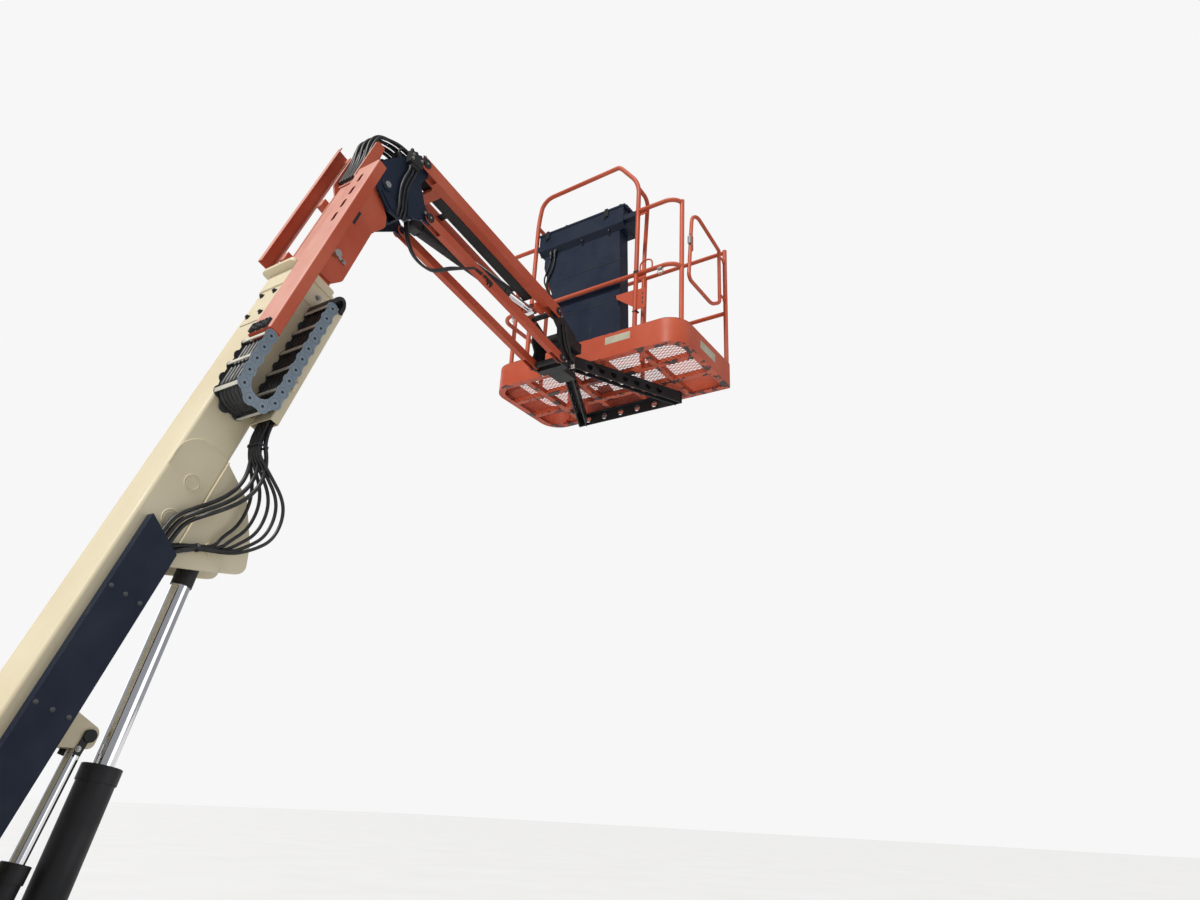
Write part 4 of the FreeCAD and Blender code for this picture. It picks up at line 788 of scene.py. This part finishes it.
def lug_block(shape, hub, half, turned):
    rows = []
    for y, low, high, slant in LUG_STATIONS:
        angle, wide = turned + slant, LUG_SPREAD / high
        rows.append([shape.mesh.verts.new(wheel_spot(hub, half * y, r, a)) for r, a in (
            (low, angle - wide), (high, angle - wide * 0.82), (high, angle + wide * 0.82),
            (low, angle + wide))])
    shape.mesh.faces.new(rows[0])
    shape.mesh.faces.new(rows[-1][::-1])
    for first, second in zip(rows, rows[1:]):
        for k in range(4):
            m = (k + 1) % 4
            shape.mesh.faces.new((first[k], second[k], second[m], first[m]))


for name in ("front_left", "front_right", "rear_left", "rear_right"):
    hub = joint_at("wheel_" + name)
    side = 1 if hub.y > 0 else -1
    hub.y = side * (HALF_WIDTH - HALF_TYRE)
    tyre = Shape("tyre_tread_" + name, TYRE, body="wheel_" + name, edge=0)
    profile = [*TYRE_PROFILE, *((-y, r) for y, r in TYRE_PROFILE[-2::-1])]
    rings = [[tyre.mesh.verts.new(wheel_spot(hub, y, r, 2 * math.pi * k / WHEEL_SIDES))
              for y, r in profile] for k in range(WHEEL_SIDES)]
    for first, second in zip(rings, rings[1:] + rings[:1]):
        for i in range(len(profile)):
            j = (i + 1) % len(profile)
            tyre.mesh.faces.new((first[i], first[j], second[j], second[i]))
    for k in range(LUGS):
        for half, later in ((-1, 0), (1, 0.5)):
            lug_block(tyre, hub, half, 2 * math.pi * (k + later) / LUGS)
    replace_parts(tyre.finish(), "tyre_" + name)
    nuts = Shape("wheel_nuts_" + name, BOLT, body="wheel_" + name)
    cap = Shape("hub_cap_" + name, BLACK, body="wheel_" + name)
    for k in range(8):
        nuts.bolt(wheel_spot(hub, side * 0.008, 0.088, math.pi * k / 4), (0, side, 0), 0.011)
    nuts.rod(wheel_spot(hub, side * 0.006, 0.155, 0.3), wheel_spot(hub, side * 0.032, 0.163, 0.3),
             0.004, 12)
    cap.rod(wheel_spot(hub, side * 0.0395, 0, 0), wheel_spot(hub, side * 0.06, 0, 0), 0.03, 36,
            0.026)
    for angle in (0.5, 0.7):
        cap.rod(wheel_spot(hub, side * 0.008, 0.18, angle),
                wheel_spot(hub, side * 0.01, 0.18, angle), 0.006, 16)

# Hoods: louvre fins, lids' seams, hinges and latches
HOOD_Y, HOOD_TOP, LATCH_Z = 0.92, 1.4003, 0.825
for side, name in ((1, "left"), (-1, "right")):
    body = "hood_" + name
    outer = side * HOOD_Y
    fins = Shape("hood_louvres_" + name, NAVY, on_machine, body)
    for bank in (-0.38, -0.02, 0.34):
        for k in range(7):
            z = 0.9 + 0.034 * k
            fins.prism([(bank - 0.105, outer + side * out, z + rise) for out, rise in (
                (-0.002, 0), (0.006, -0.004), (0.002, 0.014), (-0.002, 0.018))], (0.21, 0, 0))
    seams = Shape("hood_seams_" + name, NAVY, on_machine, body)
    for x in (-0.452, 0.622):
        seams.box((x, outer, 0.99), (0.004, 0.0022, 0.225))
    for z, half in ((0.768, 0.006), (1.212, 0.004)):
        seams.box((0.085, outer, z), (0.54, 0.0022, half))
    for x in (-0.25, 0.085, 0.42):
        seams.box((x, side * 0.53, HOOD_TOP), (0.006, 0.2, 0.0022))
    fixings = Shape("hood_hinges_" + name, BOLT, on_machine, body)
    for x in (-0.33, 0.085, 0.5):
        fixings.box((x, side * 0.268, 1.4015), (0.045, 0.026, 0.0025))
        fixings.rod((x - 0.045, side * 0.243, 1.4045), (x + 0.045, side * 0.243, 1.4045), 0.006, 20)
        for dx in (-0.03, 0, 0.03):
            fixings.bolt((x + dx, side * 0.278, 1.4038), (0, 0, 1), 0.0045)
    handles = Shape("hood_latches_" + name, PLASTIC, on_machine, body, slot="black_paint")
    for x in (-0.2, 0.37):
        handles.box((x, outer + side * 0.002, LATCH_Z), (0.055, 0.005, 0.024))
        handles.box((x, outer + side * 0.01, LATCH_Z + 0.008), (0.044, 0.004, 0.008))
        handles.rod((x + 0.035, outer, LATCH_Z - 0.012),
                    (x + 0.035, outer + side * 0.011, LATCH_Z - 0.012), 0.007, 20)

# Counterweight, deck, bearing and chassis bolts, and the rear drives' hoses
TAIL_RADIUS, RING_RADIUS = 0.955, 0.43
heavy = Shape("turntable_bolts", BOLT, on_machine)
for side in (-1, 1):
    for x, y in ((-0.6, 0.36), (-0.6, 0.6), (-0.78, 0.36), (-0.55, 0.72)):
        heavy.bolt((x, side * y, 1.183), (0, 0, 1), 0.017)
    for x in (-0.42, 0.0, 0.4):
        heavy.bolt((x, side * 0.2375, 0.93), (0, -side, 0), 0.008)
    for a in (2.3, 2.55, 2.8):
        way = Vector((math.cos(a), side * math.sin(a), 0))
        heavy.bolt((TAIL_RADIUS * way.x, TAIL_RADIUS * way.y, 0.82), way, 0.013)
ring = Shape("bearing_bolts", BOLT, on_machine, "chassis")
for x, y in circle(24, 0.5):
    if abs(RING_RADIUS * y) < 0.268:
        ring.bolt((RING_RADIUS * x, RING_RADIUS * y, 0.6), (0, 0, 1), 0.01)
chassis_bolts = Shape("chassis_bolts", BOLT, on_machine, "chassis")
for side in (-1, 1):
    for x in (-0.5, -0.2, 0.2, 0.5):
        chassis_bolts.bolt((x, side * 0.28, 0.5), (0, side, 0), 0.012)
    for end in (-1, 1):
        for z in (0.325, 0.395):
            chassis_bolts.bolt((end * 0.865, side * 0.45, z), (end, 0, 0), 0.01)
lines = Shape("rear_drive_hoses", HOSE, on_machine, "chassis", edge=0)
for side in (-1, 1):
    for z in (0.435, 0.449):
        lines.hose([(-0.745, side * 0.15, z + 0.03), (-0.775, side * 0.24, z),
                    (-0.8, side * 0.33, z - 0.006), (-0.815, side * 0.48, z - 0.006),
                    (-0.82, side * 0.6, z - 0.008), (-0.812, side * 0.69, z - 0.022)],
                   6, 0.007, 10)

# Hoses along the tower, round to the upright
TOWER_TOP = joint_at("tower_level")
TOWER_WAY = (joint_at("tower_lift") - TOWER_TOP).normalized()
on_tower = Member("tower", TOWER_TOP, TOWER_WAY, Vector((-TOWER_WAY.z, 0, TOWER_WAY.x)))
tower_hoses = Shape("tower_hoses", HOSE, on_tower, edge=0)
for y in (-0.03, -0.01, 0.012, 0.034):
    tower_hoses.hose([(0.1 + 0.12 * k, y, 0.0675 + 0.001 * (k % 2)) for k in range(9)],
                     4, 0.0085, 10)
clamps = Shape("tower_hose_clamps", ZINC, on_tower)
for s in (0.16, 0.5, 0.84):
    clamps.box((s, 0, 0.0775), (0.012, 0.052, 0.002))
    for y in (-0.048, 0.05):
        clamps.box((s, y, 0.0695), (0.012, 0.003, 0.009))

# Ground controls, tank caps and small parts under the hoods
panel = Shape("ground_panel", ZINC, body="turntable")
knobs = Shape("ground_switches", PLASTIC, body="turntable")
box_low, box_high = corners_of("ground_control_box")
face = box_low.y
middle = (box_low.x + box_high.x) / 2
STOP_Z = 1.05
panel.box((middle, face - 0.001, 0.95), (0.062, 0.002, 0.16))
for z in (0.87, 0.93, 0.99):
    for x in (middle - 0.035, middle + 0.035):
        knobs.rod((x, face - 0.002, z), (x, face - 0.01, z), 0.009, 16)
        knobs.rod((x, face - 0.008, z), (x, face - 0.024, z + 0.005), 0.004, 12, 0.003)
knobs.rod((middle, face - 0.002, STOP_Z), (middle, face - 0.014, STOP_Z), 0.014, 24)
stop = Shape("ground_stop_button", SIGNAL_RED, body="turntable")
stop.rod((middle, face - 0.012, STOP_Z), (middle, face - 0.026, STOP_Z), 0.02, 28, 0.018)
caps = Shape("tank_caps", PLASTIC, body="turntable", slot="black_paint")
tank_low, tank_high = corners_of("tank_unit")
for x, radius in ((tank_low.x + 0.12, 0.032), (tank_high.x - 0.16, 0.026)):
    for low, high, reach, sides in ((-0.004, 0.018, radius * 0.8, 24), (0.014, 0.034, radius, 12)):
        caps.rod((x, -0.62, tank_high.z + low), (x, -0.62, tank_high.z + high), reach, sides)
engine_low, engine_high = corners_of("engine_block")
on_engine = Member("turntable", (engine_low.x, 0, engine_high.z))
unit = Shape("engine_cover_parts", CAST, on_engine)
for k in range(9):
    unit.box((0.06 + 0.066 * k, 0.545, 0.008), (0.006, 0.15, 0.01))
unit.box(((engine_high.x - engine_low.x) / 2, 0.545, 0.022), (0.25, 0.06, 0.01))
unit.rod((0.1, 0.68, 0.074), (0.4, 0.68, 0.074), 0.072, 32)
for x in (0.14, 0.36):
    unit.box((x, 0.68, 0.004), (0.012, 0.05, 0.012))

# Expanded metal floor in place of the flat sheet
FLOOR_W = (FLOOR_HIGH.y - FLOOR_LOW.y) / 2
FLOOR_D = FLOOR_HIGH.x - FLOOR_LOW.x
CORNER, SMALL_CORNER, RIM_INSET = 0.14, 0.02, 0.0075
MESH_Z = (MESH_LOW.z + MESH_HIGH.z) / 2
DIAMOND_LONG, DIAMOND_SHORT = 0.034, 0.013
BEND = 0.44 * DIAMOND_SHORT
on_mesh = Member("platform", (FLOOR_LOW.x, 0, MESH_Z))


def inside_floor(x, y, inset=0.007):
    if not (inset < x < FLOOR_D - inset and abs(y) < FLOOR_W - inset):
        return False
    if x < CORNER and abs(y) > FLOOR_W - CORNER:
        return math.hypot(CORNER - x, abs(y) - FLOOR_W + CORNER) < CORNER - inset
    if x > FLOOR_D - CORNER and y > FLOOR_W - CORNER:
        return math.hypot(x - FLOOR_D + CORNER, y - FLOOR_W + CORNER) < CORNER - inset
    return True


expanded = Shape("expanded_floor", ORANGE, body="platform", edge=0, smooth=False)
rim = Shape("expanded_floor_edge", ORANGE, body="platform", edge=0, smooth=False)
for i in range(int(FLOOR_D / DIAMOND_SHORT) + 1):
    for j in range(int(2 * FLOOR_W / (DIAMOND_LONG / 2))):
        y0 = -FLOOR_W + j * DIAMOND_LONG / 2
        y1 = y0 + DIAMOND_LONG / 2
        shift = BEND if (i + j) % 2 else -BEND
        x0, x1 = i * DIAMOND_SHORT + shift, i * DIAMOND_SHORT - shift
        if inside_floor(x0, y0) and inside_floor(x1, y1):
            start, end = on_mesh(x0, y0, 0), on_mesh(x1, y1, 0)
            expanded.box((start + end) / 2, ((end - start).length / 2 + 0.0006, 0.001, 0.0018),
                         end - start)
outline = []
for cx, cy, start, radius in (
        (CORNER, -FLOOR_W + CORNER, 180, CORNER),
        (FLOOR_D - SMALL_CORNER, -FLOOR_W + SMALL_CORNER, 270, SMALL_CORNER),
        (FLOOR_D - CORNER, FLOOR_W - CORNER, 0, CORNER), (CORNER, FLOOR_W - CORNER, 90, CORNER)):
    for k in range(10):
        a = math.radians(start + 10 * k)
        outline.append(on_mesh(cx + (radius - RIM_INSET) * math.cos(a),
                               cy + (radius - RIM_INSET) * math.sin(a), 0))
for start, end in zip(outline, outline[1:] + outline[:1]):
    if (end - start).length > 1e-4:
        rim.box((start + end) / 2, ((end - start).length / 2 + 0.001, 0.002, 0.0019), end - start)
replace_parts(expanded.finish(), "platform_mesh")

# Console: lid's lip, front box, seams, latches, cables, joysticks, stop button and panel
LID_X, LID_Y, LIP_Z = (0.04, 0.2), (-0.31, 0.45), 1.222
lip = Shape("console_lid_lip", NAVY, on_floor)
for y in LID_Y:
    lip.box((sum(LID_X) / 2, y, LIP_Z), (0.0815, 0.0022, 0.007))
for x in LID_X:
    lip.box((x, sum(LID_Y) / 2, LIP_Z), (0.0022, 0.3815, 0.007))
hood = Shape("console_box_front", NAVY, on_floor, edge=0.003)
for left, wide, view in (
        (-0.296, 0.732, ((0.0475, 1.052), (0.046, 1.052), (0.012, 1.086), (0.012, 1.222),
                         (0.0475, 1.222))),
        (-0.304, 0.748, ((0.048, 1.222), (0.008, 1.222), (0.008, 1.238), (0.016, 1.246),
                         (0.048, 1.246)))):
    hood.prism([(x, left, z) for x, z in view], (0, wide, 0))
seams = Shape("console_seams", BLACK, on_floor, edge=0.0004)
seams.box((0.0455, -0.045, 0.47), (0.0012, 0.215, 0.003))
seams.box((0.0455, -0.02, 0.795), (0.0012, 0.27, 0.0022))
for y in (-0.235, 0.14):
    seams.rod((0.0465, y, 0.5), (0.0425, y, 0.5), 0.006, 16)
for y in (-0.17, 0.06, 0.29):
    seams.rod((0.03, y, 1.072), (0.026, y, 1.052), 0.007, 16)
latches = Shape("console_latches", BLACK, on_floor)
for y in (-0.156, 0.362):
    latches.box((0.0075, y, 1.208), (0.0045, 0.017, 0.03))
    latches.box((0.0045, y, 1.232), (0.004, 0.012, 0.012))
    latches.rod((0.005, y - 0.014, 1.19), (0.005, y + 0.014, 1.19), 0.0046, 16)
    latches.rod((0.006, y, 1.18), (0.0075, y + 0.02, 1.16), 0.003, 10)
cables = Shape("console_cables", HOSE, on_floor, edge=0)
for radius, way in (
        (0.0072, ((0.03, 0.3, 1.056), (0.034, 0.302, 0.97), (0.034, 0.318, 0.9),
                  (0.036, 0.352, 0.83), (0.046, 0.362, 0.765), (0.075, 0.35, 0.71),
                  (0.12, 0.335, 0.66), (0.15, 0.3, 0.6))),
        (0.0058, ((0.032, 0.338, 1.056), (0.036, 0.342, 0.98), (0.037, 0.366, 0.9),
                  (0.048, 0.391, 0.84), (0.085, 0.386, 0.78), (0.13, 0.36, 0.72)))):
    cables.hose(way, 8, radius)
    x, y = way[0][:2]
    cables.rod((x, y, 1.064), (x, y, 1.03), 0.0125, 20)
    cables.rod((x, y, 1.032), (x + 0.001, y, 1.004), 0.0095, 20)
PANEL_X, PANEL_Z = 0.13, 1.249
sticks = Shape("console_joysticks", PLASTIC, on_floor)
for y in (-0.2, 0.28):
    for low, high, radius, sides, top_radius in (
            (PANEL_Z, 1.262, 0.03, 28, 0.026), (1.262, 1.284, 0.025, 28, 0.012),
            (1.28, 1.318, 0.007, 16, 0.007), (1.312, 1.352, 0.013, 24, 0.016)):
        sticks.rod((PANEL_X, y, low), (PANEL_X, y, high), radius, sides, top_radius)
for k in range(7):
    y = -0.11 + 0.045 * k
    sticks.rod((PANEL_X, y, PANEL_Z), (PANEL_X, y, 1.258), 0.008, 16)
    sticks.rod((PANEL_X, y, 1.256), (PANEL_X + 0.003, y, 1.276), 0.003, 10, 0.0042)
stop = Shape("console_stop_button", SIGNAL_RED, on_floor)
stop.rod((PANEL_X, 0.385, PANEL_Z), (PANEL_X, 0.385, 1.26), 0.013, 24)
stop.rod((PANEL_X, 0.385, 1.26), (PANEL_X, 0.385, 1.274), 0.02, 28, 0.018)
panel = Shape("console_panel", PLATE_GREY, on_floor)
panel.box((PANEL_X, 0.07, 1.2515), (0.052, 0.35, 0.0022))

# Gusset plates at the posts' feet, mid-rail plate, handle, anchor rings and bare plates
INSET = 0.0213
gussets = Shape("rail_gussets", ORANGE, on_floor)
for x, y, way in (
        (FLOOR_D - INSET, -FLOOR_W + INSET, (0, 1, 0)), (FLOOR_D - INSET, -0.06, (0, 1, 0)),
        (FLOOR_D - INSET, FLOOR_W - INSET - 0.14, (0, -1, 0)),
        (INSET + 0.15, FLOOR_W - INSET, (1, 0, 0))):
    way, foot = Vector(way), on_floor(x, y, 0.168)
    across = way.cross(Vector((0, 0, 1))) * 0.005
    gussets.prism([foot + way * s + Vector((0, 0, z)) - across / 2
                   for s, z in ((0.012, 0), (0.06, 0), (0.012, 0.06))], across)
gussets.box((INSET + 0.006, -0.45, 0.59), (0.003, 0.04, 0.036))
gussets.box((INSET + 0.006, -0.45, 1.12), (0.003, 0.03, 0.028))
gussets.prism([(INSET - 0.002, y, z) for y, z in (
    (-0.402, 0.48), (-0.402, 0.344), (-0.268, 0.448), (-0.262, 0.48))], (0.004, 0, 0))
gussets.box((INSET, -0.46, 0.395), (0.0025, 0.032, 0.078))
gussets.hose([(INSET, y, z) for y, z in (
    (-0.446, 0.6), (-0.447, 0.662), (-0.47, 0.688), (-0.512, 0.688), (-0.536, 0.662),
    (-0.537, 0.6))], 6, 0.0055)
slots = Shape("post_bands", BLACK, on_floor, edge=0.0003)
# Three thin black sheets on the plate stand for its slots: painted shade in the openings
for z in (0.36, 0.395, 0.43):
    slots.box((INSET - 0.0024, -0.472, z), (0.0005, 0.0035, 0.01))
for z, half in ((0.3, 0.0035), (0.61, 0.01)):
    slots.box((INSET, -0.42, z), (0.0175, 0.0175, half))
anchors = Shape("lanyard_anchors", BOLT, on_floor)
for x, y in ((INSET, 0.62), (INSET, -0.6), (FLOOR_D - INSET, 0.3)):
    anchors.tube([(x, y + 0.02 * u, 0.56 + 0.02 * v) for u, v in circle(20, closed=True)],
                 0.004, 8)
    anchors.box((x, y, 0.583), (0.014, 0.016, 0.006))
FRONT_PLATE, SIDE_PLATE = (-0.3, 0.126), (0.4, 0.103)
plates = Shape("toe_board_plates", PLATE_GREY, on_floor)
rivets = Shape("plate_rivets", BOLT, on_floor)
plates.box((0.0002, *FRONT_PLATE), (0.0008, 0.096, 0.027))
plates.box((SIDE_PLATE[0], -FLOOR_W + 0.0002, SIDE_PLATE[1]), (0.11, 0.0008, 0.03))
for side in (-1, 1):
    for dz in (-0.02, 0.02):
        y, z = FRONT_PLATE[0] + side * 0.088, FRONT_PLATE[1] + dz
        rivets.rod((0.0008, y, z), (-0.0001, y, z), 0.003, 12)
        x, z = SIDE_PLATE[0] + side * 0.1, SIDE_PLATE[1] + dz
        rivets.rod((x, -FLOOR_W + 0.0008, z), (x, -FLOOR_W - 0.0001, z), 0.003, 12)

# Foot switch on the floor, cable from the console down to the floor and out below
pedal = Shape("foot_switch", PLASTIC, on_floor)
pedal.box((0.52, 0.1, 0.0455), (0.085, 0.055, 0.005))
pedal.prism([(x, 0.055, z) for x, z in ((0.46, 0.05), (0.58, 0.05), (0.58, 0.062),
                                        (0.46, 0.092))], (0, 0.09, 0))
cable = Shape("foot_switch_cable", HOSE, on_floor, edge=0)
cable.hose([(0.435, 0.1, 0.052), (0.38, 0.105, 0.048), (0.3, 0.14, 0.047), (0.22, 0.1, 0.048),
            (0.165, 0.06, 0.052), (0.15, 0.05, 0.11), (0.146, 0.05, 0.205)], 8, 0.005, 10)

# Gate's latch
latch = Shape("gate_latch", BOLT, body="gate")
gate_low, gate_high = corners_of("gate")
gate_y = (gate_low.y + gate_high.y) / 2
latch_z = gate_low.z + 0.33
latch.box((gate_low.x + 0.03, gate_y, latch_z), (0.02, 0.01, 0.03))
latch.rod((gate_low.x + 0.016, gate_y, latch_z), (gate_low.x + 0.048, gate_y + 0.001, latch_z),
          0.006, 16)

# Bolts below the turning hub of the platform's support
HUB = joint_at("platform_turn")
support = Shape("rotator_bolts", BOLT, body="platform")
hub_base = corners_of("platform_support")[0].z
for x, y in circle(8, 0.5):
    support.bolt((HUB.x + 0.056 * x, 0.056 * y, hub_base + 0.0005), (0, 0, -1), 0.0065)

# Jib: bolts along the tray, grease fittings and straps over the hoses
jib_bolts = Shape("jib_small_bolts", BOLT, on_jib)
for s in (0.3, 0.54, 0.78, 1.02):
    for y in (-0.026, 0.026):
        jib_bolts.bolt((s, y, 0.008), JIB_UP, 0.0045)
for y in (-0.101, 0.101):
    jib_bolts.rod((0, y, 0.037), (0, y, 0.047), 0.004, 12)
straps = Shape("tray_straps", BLACK, on_jib)
for s in (0.42, 0.66, 0.9):
    straps.box((s, 0, 0.0325), (0.01, 0.034, 0.0014))

# Hoses from the jib's lower side down to the turning hub, beside the end plates
hub_hoses = Shape("rotator_hoses", HOSE, from_jib_end, edge=0)
ends = Shape("rotator_fittings", BOLT, from_jib_end)
for y, reach in ((-0.112, 0.0), (-0.124, 0.016), (0.112, 0.006)):
    spots = ((0.066 + reach * 0.5, -0.052), (0.078 + reach, -0.1), (0.096 + reach, -0.156),
             (0.122 + reach, -0.202), (0.16, -0.236 - reach * 0.5), (0.196, -0.262), (0.2, -0.3))
    hub_hoses.hose([(x, y, z) for x, z in spots], 7, 0.0068, 10)
    ends.rod((0.198, y, -0.284), (0.2, y, -0.306), 0.0095, 6)


# Cylinder ports with a steel pipe along the barrel's left side
def barrel_pipe(body, foot, way, radius, start, end):
    on_barrel = Member(body, foot, way, (0, 1, 0))
    blocks = Shape(body + "_ports", BLACK, on_barrel)
    for s in (start, end):
        blocks.box((s, radius + 0.004, 0), (0.016, 0.012, 0.008))
    inner, outer = radius + 0.006, radius + 0.016
    straight = [(start + 0.02 + (end - start - 0.04) * k / 10, outer, 0) for k in range(11)]
    pipe = Shape(body + "_pipe", ZINC, on_barrel, edge=0)
    pipe.hose([(start, inner, 0), (start + 0.004, outer, 0), *straight, (end - 0.004, outer, 0),
               (end, inner, 0)], 3, 0.005, 10)


LIFT_WAY = Vector(JOINTS["lift_cylinder"]["axis"])
MASTER_WAY = Vector(JOINTS["master_cylinder"]["axis"])
barrel_pipe("lift_barrel", LIFT_FOOT, LIFT_WAY, 0.0555, 0.09, 0.84)
sleeve = Shape("lift_rod_sleeve", BLACK, body="lift_rod")
ROD_HEAD = on_boom(1.325, 0, -0.204)
sleeve.rod(ROD_HEAD - LIFT_WAY * 0.134, ROD_HEAD - LIFT_WAY * 0.04, 0.0368, 48)
barrel_pipe("master_barrel", MASTER_FOOT, MASTER_WAY, 0.03, 0.07, 0.31)

while Shape.waiting:
    Shape.waiting[0].finish()

# Studio: pale floor, soft lights, pale world
floor_mesh = bmesh.new()
bmesh.ops.create_grid(floor_mesh, x_segments=1, y_segments=1, size=150)
data = bpy.data.meshes.new("studio_floor")
floor_mesh.to_mesh(data)
floor_mesh.free()
n = Nodes("studio_floor")
tone = n.blend(n.ramp(n.noise(0.4, detail=3), "Fac", 0.3, 0.7), (0.8, 0.8, 0.8),
               (0.77, 0.77, 0.765))
n.join(tone, 2, n.shader, "Base Color")
n.shader.inputs["Roughness"].default_value = 0.8
data.materials.append(n.material)
stage = [show("studio_floor", data)]
AIM = Vector((0.6, 0, 2.6))


def sun_light(name, spot, power, spread, colour=(1, 1, 1)):
    data = bpy.data.lights.new(name, "SUN")
    put(data, angle=math.radians(spread), energy=power, color=colour)
    item = show(name, data)
    turned = (AIM - Vector(spot)).to_track_quat("-Z", "Y").to_matrix().to_4x4()
    item.matrix_world = Matrix.Translation(spot) @ turned
    stage.append(item)


sun_light("key_light", (-5.6, -0.4, 9.4), 3.2, 8, (1.0, 0.975, 0.93))
sun_light("fill_light", (5.0, -8.5, 2.8), 0.5, 40, (0.96, 0.98, 1.0))
sun_light("back_light", (3.0, 9.0, 6.0), 0.45, 40)

# World: soft pale light all round, a plain white sky where the camera looks past the object
world = bpy.data.worlds.new("studio")
bpy.context.scene.world = world
world.use_nodes = True
tree = world.node_tree
tree.nodes.clear()
mix = tree.nodes.new("ShaderNodeMixShader")
for inlet, colour, strength in ((1, (0.9, 0.93, 1.0, 1), 0.36), (2, (0.93, 0.93, 0.93, 1), 1.0)):
    sky = tree.nodes.new("ShaderNodeBackground")
    sky.inputs["Color"].default_value = colour
    sky.inputs["Strength"].default_value = strength
    tree.links.new(sky.outputs[0], mix.inputs[inlet])
path = tree.nodes.new("ShaderNodeLightPath")
tree.links.new(path.outputs["Is Camera Ray"], mix.inputs[0])
tree.links.new(mix.outputs[0], tree.nodes.new("ShaderNodeOutputWorld").inputs[0])
bpy.context.scene.view_settings.view_transform = "Standard"
bpy.context.scene.view_settings.look = "None"
